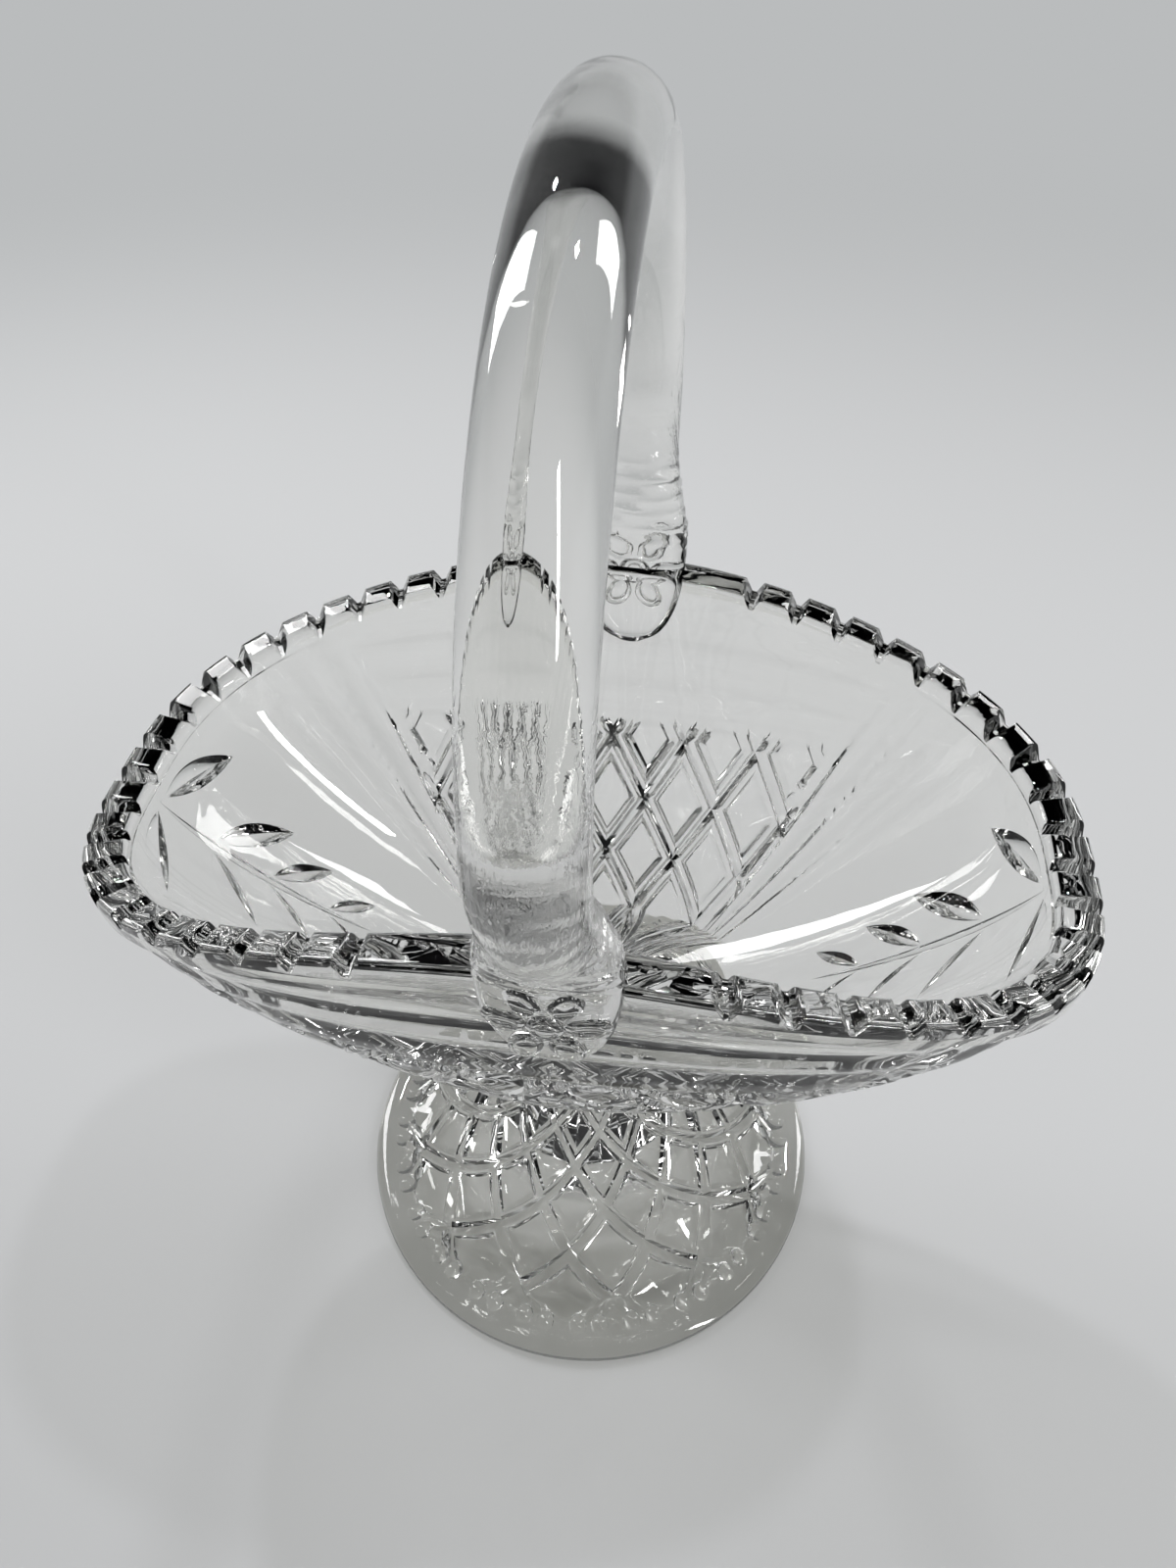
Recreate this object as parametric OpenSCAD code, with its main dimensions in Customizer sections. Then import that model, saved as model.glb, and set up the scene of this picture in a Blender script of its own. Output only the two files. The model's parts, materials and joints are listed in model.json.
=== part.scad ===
// Footed crystal basket. A boat-shaped bowl, its waist and its round foot are one pressed and cut
// body, and a rod of hot glass drawn over the middle is fused to it as a handle.
// The frame stands on the foot: Z is up, X runs from end to end, and the handle crosses along Y.

/* [Bowl] */
// Length of the bowl from end to end
bowl_length = 190; // [160:1:220]
// Width of the bowl under the handle
bowl_width = 108; // [96:1:124]
// Squareness of the plan, where 2 is a true oval
plan_power = 2.6; // [2:0.1:3]
// Height of the rim at the two ends
rim_end_height = 128; // [118:1:140]
// Height of the rim beside the handle
rim_side_height = 152; // [142:1:165]
// How far the rim dips between the ends and the handle
rim_dip = 3.2; // [0:0.2:6]
// Fullness of the end walls, where 1 is straight and 2 is round
end_fullness = 1.45; // [1.2:0.05:2.2]
// Fullness of the side walls, where 1 is straight and 2 is round
side_fullness = 1.75; // [1.2:0.05:2.2]
// Thickness of the wall at the rim
rim_thickness = 8; // [6:0.5:10]
// Thickness of the glass under the middle of the bowl
floor_thickness = 10; // [8:0.5:14]

/* [Foot and waist] */
// Diameter of the foot
foot_diameter = 115; // [100:1:130]
// Height of the plain band round the edge of the foot
foot_band = 3; // [2:0.25:5]
// Depth of the hollow under the foot
foot_hollow = 5; // [3:0.5:7]
// Width of the flat ring that the foot stands on
foot_ring = 7; // [4:0.5:10]
// Diameter of the waist
waist_diameter = 33; // [28:1:40]
// Height of the waist
waist_height = 51; // [44:1:56]
// Height at which the underside of the bowl leaves the waist
bowl_base_height = 64; // [60:1:72]
// Reach of the round blend between the waist and the bowl
waist_blend = 17; // [12:1:24]

/* [Rim teeth] */
// Number of teeth round the whole rim
tooth_count = 52; // [40:4:64]
// Depth of the groove between two teeth
tooth_depth = 2.4; // [1.5:0.1:3.2]
// Length of rim left plain on each side of the handle
plain_rim = 21; // [16:1:30]

/* [Cut patterns] */
// Number of diamonds round the foot
foot_diamonds = 12; // [10:2:16]
// Rows of diamonds from the edge of the foot to the waist
foot_diamond_rows = 3; // [2:1:4]
// Depth of the lattice cut
lattice_depth = 2.4; // [1.2:0.1:2.8]
// Width of a diamond in the panel on each long side
panel_diamond = 17; // [14:0.5:19]
// Height that the lowest whole diamond of the panel takes up above the foot of the bowl's wall
panel_rise = 16.5; // [14:0.5:18]
// Half width of the panel at the waist, in diamonds
panel_foot_diamonds = 1.25; // [0.75:0.25:1.5]
// How many diamonds the panel widens by on each side with every diamond of height
panel_fan = 0.8; // [0.4:0.1:1]
// Pairs of leaf cuts that hang from the stem at each end
leaf_pairs = 4; // [3:1:5]
// Length of the longest leaf cut
leaf_length = 22; // [18:1:26]
// Width of a leaf cut
leaf_width = 6; // [4:0.5:8]
// Depth of a leaf cut
leaf_depth = 1.8; // [1:0.1:2.4]
// Width of the stem cut
stem_width = 2.4; // [1.5:0.1:3]

/* [Handle] */
// Diameter of the glass rod
rod_diameter = 15.5; // [13:0.5:18]
// Height of the top of the handle
handle_height = 252.5; // [235:0.5:270]
// Width over the middle line of the rod at its widest
handle_span = 127.3; // [118:0.1:136]
// Radius of the slow inward bend of each leg
leg_bend = 120; // [100:5:160]
// How far the hand-set handle stands off the middle
handle_shift = 3; // [0:0.5:4]
// Width of the pad that each end of the rod is pressed into
pad_width = 22; // [19:0.5:24]
// Thickness of the pad
pad_thickness = 10; // [8:0.5:12]
// Distance from the rim down to the lower tip of the pad
pad_drop = 19; // [15:0.5:22]
// Petals of the pressed flower on each pad
petals = 6; // [5:1:8]

/* [Hidden] */
glass = [0.86, 0.92, 0.93, 0.55];

// Columns of points round each band, tied to what repeats there
rim_cols = 3 * tooth_count;
bowl_cols = 2 * tooth_count;
foot_cols = 4 * foot_diamonds;
inner_cols = 2 * tooth_count;
diamond_steps = 4;

half_length = bowl_length / 2;
half_width = bowl_width / 2;
foot_r = foot_diameter / 2;
waist_r = waist_diameter / 2;

// Turns a share of the way round the rim into its angle seen from above, by length along the rim
arc_steps = 240;
function plan_radius(a) =
    pow(pow(abs(cos(a)) / half_length, plan_power) + pow(abs(sin(a)) / half_width, plan_power),
        -1 / plan_power);
function plan_point(a) = plan_radius(a) * [cos(a), sin(a)];
arc_points = [ for (i = [0:arc_steps]) plan_point(360 * i / arc_steps) ];
arc_lengths = [ for (i = 0, s = 0; i <= arc_steps;
                     s = s + norm(arc_points[min(i + 1, arc_steps)] - arc_points[i]), i = i + 1) s ];
rim_length = arc_lengths[arc_steps];
arc_table = [ for (i = [0:arc_steps]) [arc_lengths[i] / rim_length, 360 * i / arc_steps] ];
function rim_angle(share) = lookup(share - floor(share), arc_table);
function smooth(u) = let (w = min(1, max(0, u))) w * w * (3 - 2 * w);

// Height of the top of the rim at an angle seen from above
function rim_height(a) =
    let (t = atan2(sin(a) / half_width, cos(a) / half_length))
    (rim_side_height + rim_end_height) / 2 - (rim_side_height - rim_end_height) / 2 * cos(2 * t)
    - rim_dip * pow(sin(2 * t), 2);
function fullness(a) = end_fullness * pow(cos(a), 2) + side_fullness * pow(sin(a), 2);

// Profile of a wall in one upright plane: v runs from 0 at the waist to 1 at the rim,
// and the result is the distance from the axis and the height
function wall(a, v, r0, z0, r1, z1, blend, drop) =
    let (k = 2 / fullness(a), u = pow(sin(90 * v), k), h = 1 - pow(cos(90 * v), k),
         x = (r1 - r0) * u, near = max(0, 1 - x / blend))
    [r0 + x, z0 + (z1 - z0) * h - drop * near * near];
function outer_wall(a, v) =
    wall(a, v, waist_r, bowl_base_height, plan_radius(a), rim_height(a), waist_blend,
         bowl_base_height - waist_height);
inner_base = bowl_base_height + floor_thickness;
inner_start = 4;
function inner_wall(a, v) =
    wall(a, v, inner_start, inner_base, plan_radius(a) - rim_thickness, rim_height(a), 1, 0);

// Outward direction of the outer wall in its upright plane
slope_step = 0.01;
function outer_normal(a, v) =
    let (d = outer_wall(a, min(1, v + slope_step)) - outer_wall(a, max(0, v - slope_step)))
    [d[1], -d[0]] / norm(d);
function to_space(a, p) = [p[0] * cos(a), p[0] * sin(a), p[1]];
// Columns turn from even angles at the waist to even lengths at the rim
even_out = 0.35;
function column_angle(share, v) =
    let (w = smooth(v / even_out)) (1 - w) * 360 * share + w * rim_angle(share);

// Lattice of double ribs: i and j count quarter diamonds across and up.
// Grooves run where both are even steps apart, ribs lie beside them, and pits lie between.
rib_shift = 0.33;
function near_line(d) = let (m = d - diamond_steps * floor(d / diamond_steps)) min(m, diamond_steps - m);
function lattice_kind(i, j) = [near_line(i - j), near_line(i + j)];
function lattice_drop(i, j) =
    let (k = lattice_kind(i, j)) max(k) % 2 == 1 ? 0 : min(k) == 0 ? 0.75 : 1;
// Ribs lean towards the crossing beside them, across or up
function lean_across(i, j) =
    (i + j) % 2 == 0 ? 0 : near_line(i + 1 - j) + near_line(i + 1 + j) == 0 ? rib_shift
    : near_line(i - 1 - j) + near_line(i - 1 + j) == 0 ? -rib_shift : 0;
function lean_up(i, j) =
    (i + j) % 2 == 0 ? 0 : near_line(i - j - 1) + near_line(i + j + 1) == 0 ? rib_shift
    : near_line(i - j + 1) + near_line(i + j - 1) == 0 ? -rib_shift : 0;

// Foot: rows of points from under the foot to the waist
foot_rows = diamond_steps * foot_diamond_rows;
foot_edge_r = foot_r - 2;
foot_shoulder = 0.6;
foot_flare = 2.2;
foot_fade = 3;
foot_fade_end = 0.25;
function foot_top(u) =
    let (r = foot_edge_r * pow(waist_r / foot_edge_r, u),
         s = (r - waist_r) / (foot_edge_r - waist_r))
    [r, foot_band + foot_shoulder + (waist_height - foot_band - foot_shoulder) * pow(1 - s, foot_flare)];
function foot_normal(u) =
    let (d = foot_top(min(1, u + slope_step)) - foot_top(max(0, u - slope_step)))
    [d[1], -d[0]] / norm(d);
function foot_point(i, j) =
    let (u = (j + (j > 0 && j < foot_rows ? lean_up(i, j) : 0)) / foot_rows,
         a = 360 * (i + (j < foot_rows ? lean_across(i, j) : 0)) / foot_cols,
         fade = min(1, (1 - u) * foot_fade + foot_fade_end),
         cut = j == foot_rows ? 0 : lattice_depth * fade * lattice_drop(i, j))
    to_space(a, foot_top(u) - cut * foot_normal(u));
hollow_r = foot_r - 1 - foot_ring;
function ring(r, z, n) = [ for (i = [0:n - 1]) to_space(360 * i / n, [r, z]) ];
foot_under = [
    ring(hollow_r * 0.45, foot_hollow, foot_cols),
    ring(hollow_r * 0.85, foot_hollow * 0.7, foot_cols),
    ring(hollow_r, 0, foot_cols),
    ring(foot_r - 1, 0, 2 * foot_cols),
    ring(foot_r, 1, 2 * foot_cols),
    ring(foot_r, foot_band - 0.7, 2 * foot_cols),
    ring(foot_r - 0.8, foot_band, 2 * foot_cols)
];

// Side panels: the lattice fills a fan on each long side. Its rows lie level, a quarter diamond apart,
// and its columns a quarter diamond apart along the level, whatever the slope of the wall.
neck_rows = 1;
neck_level = 0.5;
panel_rows = 2 * diamond_steps + 1;
upper_rows = 4;
upper_end = 0.93;
row_growth = 1.43;
bowl_rows = neck_rows + panel_rows + upper_rows;
function panel_row(j) = j - neck_rows;
function level_height(n) = panel_rise * pow(max(n, neck_level) / diamond_steps, row_growth);
function level_share(a, n) =
    let (h = level_height(n) / (rim_height(a) - bowl_base_height)) acos(pow(1 - h, fullness(a) / 2)) / 90;
// Length along each level from the middle of a long side towards the end, with its angle
level_steps = 30;
function level_point(a, n) = let (p = outer_wall(90 - a, level_share(90 - a, n))) p[0] * [cos(a), sin(a)];
function level_table(n) =
    let (points = [ for (k = [0:level_steps]) level_point(90 * k / level_steps, n) ])
    [ for (k = 0, s = 0; k <= level_steps;
           s = s + norm(points[min(k + 1, level_steps)] - points[k]), k = k + 1) [s, 90 * k / level_steps] ];
level_tables = [ for (n = [0:panel_rows]) level_table(n) ];
quarter = bowl_cols / 4;
column_pitch = panel_diamond / diamond_steps;
widest_share = 0.75;
function from_side(i) = let (m = i - 2 * quarter * floor(i / (2 * quarter))) m - quarter;
function panel_reach(n) = diamond_steps * panel_foot_diamonds + panel_fan * n;
function in_panel(i, n) = n > 0 && n < panel_rows && abs(from_side(i)) < panel_reach(n);
// In the panel a column lies at its own distance, and beyond it the rest share what is left
function level_angle(i, n) =
    let (m = abs(from_side(i)), t = level_tables[round(n)], all = t[level_steps][0],
         edge = min(panel_reach(n), widest_share * all / column_pitch),
         s = m < edge ? m * column_pitch
             : edge * column_pitch + (all - edge * column_pitch) * (m - edge) / (quarter - edge))
    90 * (1 + 2 * floor(i / (2 * quarter))) + sign(from_side(i)) * lookup(s, t);
// The columns leave the waist at even angles and reach the rim at even lengths
low_turns = [0.12, 0.35];
function bowl_angle(i, j) =
    let (n = panel_row(j), share = i / bowl_cols)
    n < len(low_turns) ? let (w = low_turns[n]) (1 - w) * 360 * share + w * level_angle(i, n)
    : n <= panel_rows ? level_angle(i, n)
    : let (w = (n - panel_rows) / upper_rows)
      (1 - w) * level_angle(i, panel_rows) + w * (share < 1 ? rim_angle(share) : 360);
function bowl_share(a, j, up) =
    let (n = panel_row(j) + up)
    n <= panel_rows ? level_share(a, n)
    : let (w = (n - panel_rows) / upper_rows) (1 - w) * level_share(a, panel_rows) + w * upper_end;
// Long flutes run up beside each panel, and shallow ones sweep round above it under the rim
flute_depth = 1.3;
flute_columns = 2;
sweep_reach = 15;
sweep_fade = 6;
function beside_panel(i, n) =
    let (off = abs(from_side(i)) - floor(panel_reach(min(n, panel_rows))) - 1)
    n > 1 && n < panel_rows + upper_rows - 1 && (off == 1 || off == 1 + flute_columns)
        ? sin(180 * n / (panel_rows + upper_rows)) : 0;
function above_panel(i, n) =
    let (k = n - panel_rows, reach = sweep_reach - abs(from_side(i)))
    (k == 1 || k == 3) && reach > 0 ? min(1, reach / sweep_fade) : 0;
// The lattice is cut shallower where it runs out at the waist and in the open row at the top
row_depths = [0, 0.7, 0.9, 1, 1.1, 1.2, 1.2, 1.2, 1.1, 0];
function bowl_point(i, j) =
    let (n = panel_row(j), inside = in_panel(i, n), m = from_side(i),
         a = bowl_angle(i + (inside ? lean_across(m, n) : 0), j),
         v = bowl_share(a, j, inside && n > 1 ? lean_up(m, n) : 0),
         cut = inside ? lattice_depth * row_depths[n] * lattice_drop(m, n)
             : flute_depth * max(beside_panel(i, n), above_panel(i, n)))
    to_space(a, outer_wall(a, v) - cut * outer_normal(a, v));

// Rim: three columns to a tooth, the first in the groove; the grooves stop beside the handle
function groove(i) =
    i % 3 != 0 ? 0
    : let (s = i / rim_cols * rim_length, q = rim_length / 4,
           off = min(abs(s - q), abs(s - 3 * q))) smooth((off - plain_rim) / 4 + 0.5);
// Grooves are narrower than the teeth between them
groove_share = 0.23;
function rim_share(i) =
    let (k = i % 3, t = floor(i / 3)) (t + [0, groove_share, 1 - groove_share][k]) / tooth_count;
rim_bevel = 1.6;
// Each step over the rim: inset from the outer face, drop below the top, and what a groove adds
rim_steps = [
    [0.2, 7.5, 0.5, 0],
    [0, rim_bevel + 0.6, 1.4, 0.8],
    [rim_bevel, 0, 0.7, tooth_depth],
    [rim_thickness - rim_bevel, 0, -0.2, tooth_depth],
    [rim_thickness, rim_bevel + 0.4, 0, 0.6]
];
function rim_point(i, step) =
    let (a = rim_angle(rim_share(i)), g = groove(i))
    to_space(a, [plan_radius(a) - step[0] - g * step[2], rim_height(a) - step[1] - g * step[3]]);

inner_rows = [0.9, 0.78, 0.65, 0.52, 0.4, 0.28, 0.16, 0.07];
function inner_point(i, v) =
    let (a = column_angle(i / inner_cols, v)) to_space(a, inner_wall(a, v));

body_rings = concat(
    foot_under,
    [ for (j = [0:foot_rows]) [ for (i = [0:foot_cols - 1]) foot_point(i, j) ] ],
    [ for (j = [1:bowl_rows]) [ for (i = [0:bowl_cols - 1]) bowl_point(i, j) ] ],
    [ for (step = rim_steps) [ for (i = [0:rim_cols - 1]) rim_point(i, step) ] ],
    [ for (v = inner_rows) [ for (i = [0:inner_cols - 1]) inner_point(i, v) ] ]);
foot_first = len(foot_under);
bowl_first = foot_first + foot_rows + 1;

// Which way a square of the lattice is split: 1 along the rising family, 0 along the falling one
function split_up(r, i) =
    r >= foot_first && r < foot_first + foot_rows
        ? let (j = r - foot_first) near_line(i - j) < near_line(i + j + 1)
    : r >= bowl_first && r < bowl_first + bowl_rows - 1
        ? let (m = from_side(i), n = panel_row(r - bowl_first + 1))
          near_line(m - n) < near_line(m + n + 1)
    : true;

// Skin of triangles over rings of points, where rings may have different numbers of points
function ring_start(rings) = [ for (k = 0, s = 0; k <= len(rings);
    s = s + (k < len(rings) ? len(rings[k]) : 0), k = k + 1) s ];
function strip(r, s0, n0, s1, n1) =
    n0 == n1
    ? [ for (i = [0:n0 - 1]) let (a = s0 + i, b = s0 + (i + 1) % n0, c = s1 + i, d = s1 + (i + 1) % n0)
        each (split_up(r, i) ? [[a, d, b], [a, c, d]] : [[a, c, b], [b, c, d]]) ]
    : concat(
        [ for (i = [0:n0 - 1]) let (k = ceil((i + 0.5) * n1 / n0 - 0.5))
            [s0 + i, s1 + k % n1, s0 + (i + 1) % n0] ],
        [ for (j = [0:n1 - 1]) let (k = floor((j + 0.5) * n0 / n1 + 0.5))
            [s0 + k % n0, s1 + j, s1 + (j + 1) % n1] ]);
module skin(rings) {
    start = ring_start(rings);
    last = len(rings) - 1;
    n_first = len(rings[0]);
    n_last = len(rings[last]);
    first_mid = [0, 0, rings[0][0][2]];
    last_mid = [0, 0, inner_base];
    polyhedron(
        points = concat([ for (ring = rings) each ring ], [first_mid, last_mid]),
        faces = concat(
            [ for (i = [0:n_first - 1]) [start[last + 1], i, (i + 1) % n_first] ],
            [ for (r = [0:last - 1]) each strip(r, start[r], len(rings[r]), start[r + 1], len(rings[r + 1])) ],
            [ for (i = [0:n_last - 1]) [start[last + 1] + 1, start[last] + (i + 1) % n_last, start[last] + i] ]));
}

// A point of the outer wall that lies across and up, in millimetres, from a given place,
// and out from the wall by a given height
function wall_point(a0, v0, across, up, out) =
    let (p = outer_wall(a0, v0), reach = norm(outer_wall(a0, v0 + slope_step) - outer_wall(a0, v0 - slope_step))
             / (2 * slope_step),
         v = v0 + up / reach,
         a = a0 + across / p[0] * 180 / PI)
    to_space(a, outer_wall(a, v) + out * outer_normal(a, v));

// One wheel cut: a lens seen from outside, with steep sides and a shallow V along its middle
leaf_stations = 5;
leaf_clear = 0.7;
leaf_floor = 0.6;
leaf_side = 0.8;
leaf_tip = 0.05;
module leaf_cut(a0, v0, turn, start, length, width, depth) {
    section = [[-width / 2, leaf_clear], [width / 2, leaf_clear], [leaf_floor * width / 2, -leaf_side * depth],
               [0, -depth], [-leaf_floor * width / 2, -leaf_side * depth]];
    n = len(section);
    function place(along, side, out) =
        wall_point(a0, v0, along * cos(turn) - side * sin(turn), along * sin(turn) + side * cos(turn), out);
    mids = [ for (k = [1:leaf_stations])
        let (s = start + length * k / (leaf_stations + 1), b = sin(180 * k / (leaf_stations + 1)))
        for (p = section) place(s, p[0] * b, p[1] * b) ];
    last = n * leaf_stations;
    polyhedron(
        points = concat(mids, [place(start, 0, leaf_tip), place(start + length, 0, leaf_tip)]),
        faces = concat(
            [ for (k = [0:n - 1]) [last, (k + 1) % n, k] ],
            [ for (s = [0:leaf_stations - 2]) for (k = [0:n - 1])
                let (a = n * s + k, b = n * s + (k + 1) % n)
                each [[a, b, a + n], [b, b + n, a + n]] ],
            [ for (k = [0:n - 1]) [last - n + k, last - n + (k + 1) % n, last + 1] ]));
}

// Fern on each end wall: pairs of leaf cuts hang from both sides of a stem, shorter towards the waist
fern_top = 0.84;
fern_step = 0.125;
stem_low = 0.36;
leaf_lean = 40;
top_lean = 20;
leaf_gap = 2.4;
leaf_shrink = 0.16;
function leaf_size(k) = k == 0 ? 1 : 1 - leaf_shrink * (k - 1);
module ferns() {
    for (end = [0, 180]) {
        for (k = [0:leaf_pairs - 1]) {
            lean = k == 0 ? top_lean : leaf_lean;
            for (turn = [-lean, 180 + lean])
                leaf_cut(end, fern_top - fern_step * k, turn, leaf_gap, leaf_length * leaf_size(k),
                         leaf_width * leaf_size(k), leaf_depth * leaf_size(k));
        }
        leaf_cut(end, stem_low, 90, 0, stem_length(), stem_width, stem_width / 2);
    }
}
function stem_length() = norm(outer_wall(0, fern_top) - outer_wall(0, stem_low));

module body() {
    difference() {
        skin(body_rings);
        ferns();
    }
}

// Handle: the middle line is a half ring over two legs that bend slowly inwards, and each leg
// widens and flattens into a tongue-shaped pad on the outside of the wall
rod_r = rod_diameter / 2;
arch_r = handle_span / 2;
arch_z = handle_height - rod_r - arch_r;
lean_start = rim_side_height + 36;
press_start = rim_side_height + 24;
pad_wide_z = rim_side_height + 3;
pad_low_z = rim_side_height - pad_drop;
leg_turn = asin((arch_z - pad_wide_z) / leg_bend);
// The pad sinks into the wall it was pressed on, and its tip lies closer to the wall
pad_sink = 5;
pad_y = half_width + pad_thickness / 2 - pad_sink;
tip_lean = 2.5;
tip_thickness = 0.55;
tip_turn = 82;
tip_roundness = 0.7;
flatness = 0.45;
rod_sides = 18;
arch_steps = 14;
leg_steps = 9;
pad_steps = 6;
function mix(a, b, w) = (1 - w) * a + w * b;
function share_down(z, start) = smooth((start - z) / (start - pad_wide_z));
// Each section: distance out, height, half thickness, half width and flatness of its faces
function arch_section(a) =
    let (z = arch_z + arch_r * sin(a))
    [mix(arch_r * cos(a), pad_y, share_down(z, lean_start)), z, rod_r, rod_r, 0];
function leg_section(a) =
    let (out = arch_r - leg_bend * (1 - cos(a)), z = arch_z + leg_bend * sin(a), w = share_down(z, press_start))
    [mix(out, pad_y, share_down(z, lean_start)), z, mix(rod_r, pad_thickness / 2, w),
     mix(rod_r, pad_width / 2, w), w];
function tip_section(b) =
    [pad_y - tip_lean * (1 - cos(b)), pad_wide_z - (pad_wide_z - pad_low_z) * sin(b) / sin(tip_turn),
     pad_thickness / 2 * mix(1, tip_thickness, 1 - cos(b)), pad_width / 2 * pow(cos(b), tip_roundness), 1];
half_handle = concat(
    [ for (k = [0:arch_steps]) arch_section(90 - 90 * k / arch_steps) ],
    [ for (k = [1:leg_steps]) leg_section(-leg_turn * k / leg_steps) ],
    [ for (k = [1:pad_steps]) tip_section(tip_turn * k / pad_steps) ]);
half = len(half_handle) - 1;
// Each section lies square to the way the middle line runs there
function tilt(k) =
    k == 0 ? 90 : let (d = half_handle[min(half, k + 1)] - half_handle[k - 1]) atan2(d[0], -d[1]);
function section_ring(n, side) =
    let (s = half_handle[n], lie = tilt(n))
    [ for (k = [0:rod_sides - 1]) let (t = 360 * k / rod_sides, c = cos(t),
        out = s[2] * sign(c) * pow(abs(c), 1 - flatness * s[4]))
        [s[3] * sin(t) + handle_shift, side * (s[0] + out * cos(lie)), s[1] + out * sin(lie)] ];
module rod() {
    rings = concat([ for (n = [half:-1:0]) section_ring(n, 1) ], [ for (n = [1:half]) section_ring(n, -1) ]);
    last = 2 * half * rod_sides;
    polyhedron(
        points = [ for (ring = rings) each ring ],
        faces = concat(
            [[ for (k = [rod_sides - 1:-1:0]) k ]],
            [ for (r = [0:2 * half - 1]) for (k = [0:rod_sides - 1])
                let (a = r * rod_sides + k, b = r * rod_sides + (k + 1) % rod_sides,
                     c = a + rod_sides, d = b + rod_sides)
                each [[a, b, c], [b, d, c]] ],
            [[ for (k = [0:rod_sides - 1]) last + k ]]));
}
// Flower of low domes pressed on the face of the pad, round a middle button
flower_drop = 4.5;
flower_r = pad_width / 4;
petal_share = 0.92;
petal_r = flower_r * sin(180 / petals) * petal_share;
petal_sink = 1.5;
module flower() {
    rotate([-90, 0, 0]) {
        for (k = [0:petals - 1])
            rotate([0, 0, 360 * k / petals]) translate([flower_r, 0, -petal_sink]) sphere(r = petal_r, $fn = 16);
        translate([0, 0, -petal_sink]) sphere(r = petal_r, $fn = 16);
    }
}
module handle() {
    rod();
    for (side = [0, 1])
        translate([handle_shift, 0, rim_side_height - flower_drop]) mirror([0, side, 0])
            translate([0, pad_y + pad_thickness / 2, 0]) flower();
}

module glass_basket() {
    color(glass) union() {
        body();
        handle();
    }
}

glass_basket();
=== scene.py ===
"""Looks of a footed crystal basket: pressed and cut bowl, waist and foot with a rod handle fused on.

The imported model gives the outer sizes. Each sub-assembly is a class that holds its own sizes in
millimetres and builds its mesh, and the whole is one closed body of lead crystal, as the real one is.
The frame stands on the foot: Z is up, X runs from end to end, and the handle crosses along Y.
"""

import json
import logging
import math
from collections.abc import Callable
from dataclasses import dataclass, field
from enum import Enum

import bpy
import numpy as np
from mathutils import Matrix, Vector

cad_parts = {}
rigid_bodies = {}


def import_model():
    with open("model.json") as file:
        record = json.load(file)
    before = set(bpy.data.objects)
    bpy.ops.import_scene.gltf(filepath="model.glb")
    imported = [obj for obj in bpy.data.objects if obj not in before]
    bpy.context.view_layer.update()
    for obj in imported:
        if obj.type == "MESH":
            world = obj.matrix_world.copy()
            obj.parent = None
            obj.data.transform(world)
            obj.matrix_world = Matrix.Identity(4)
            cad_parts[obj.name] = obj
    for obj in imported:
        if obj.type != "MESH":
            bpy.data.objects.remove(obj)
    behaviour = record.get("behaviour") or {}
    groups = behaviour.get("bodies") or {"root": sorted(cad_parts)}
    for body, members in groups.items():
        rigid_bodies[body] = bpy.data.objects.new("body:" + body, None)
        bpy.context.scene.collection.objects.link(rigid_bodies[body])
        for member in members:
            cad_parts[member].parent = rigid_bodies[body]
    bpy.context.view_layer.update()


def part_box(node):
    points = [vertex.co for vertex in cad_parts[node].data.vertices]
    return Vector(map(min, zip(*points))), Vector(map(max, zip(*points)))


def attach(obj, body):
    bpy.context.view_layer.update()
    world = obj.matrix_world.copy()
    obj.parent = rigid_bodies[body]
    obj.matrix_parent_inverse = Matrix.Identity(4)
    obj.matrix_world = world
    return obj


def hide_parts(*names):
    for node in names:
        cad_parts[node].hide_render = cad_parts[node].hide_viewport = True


log = logging.getLogger("glass_basket")

MM = 0.001
NODE = "glass_basket"
Array = np.ndarray


class Side(Enum):
    """The two long sides, each with a panel of diamonds and one leg of the handle."""

    FAR = 1
    NEAR = -1


class End(Enum):
    """The two ends, each with a fern of leaf cuts, by their angle seen from above in degrees."""

    RIGHT = 0
    LEFT = 180


class Work(Enum):
    """What a closed piece does to the body, by Blender's name for it."""

    FUSE = "UNION"
    CUT = "DIFFERENCE"


def linear(code: str) -> tuple[float, float, float, float]:
    """Turns a colour as written on screen into the linear light that a shader takes.

    Args:
        code: The sRGB colour as six hex digits after a hash.

    Returns:
        Red, green, blue and an alpha of one.
    """
    parts = [int(code[k:k + 2], 16) / 255 for k in (1, 3, 5)]
    light = [c / 12.92 if c <= 0.04045 else ((c + 0.055) / 1.055) ** 2.4 for c in parts]
    return (light[0], light[1], light[2], 1.0)


def smooth(u: Array | float) -> Array:
    """Soft step from 0 to 1."""
    w = np.clip(u, 0.0, 1.0)
    return w * w * (3 - 2 * w)


def add_node(tree: bpy.types.NodeTree, kind: str, settings: dict | None = None,
             links: dict | None = None) -> bpy.types.Node:
    """Adds one node with its settings and links.

    Args:
        tree: The node tree that takes the node.
        kind: Blender's name for the kind of node.
        settings: Values of the node's own properties.
        links: For each input, by name or number, a socket to link or a value to set.

    Returns:
        The new node.
    """
    made = tree.nodes.new(kind)
    for name, value in (settings or {}).items():
        setattr(made, name, value)
    for name, value in (links or {}).items():
        if isinstance(value, bpy.types.NodeSocket):
            tree.links.new(value, made.inputs[name])
        else:
            made.inputs[name].default_value = value
    return made


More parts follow.
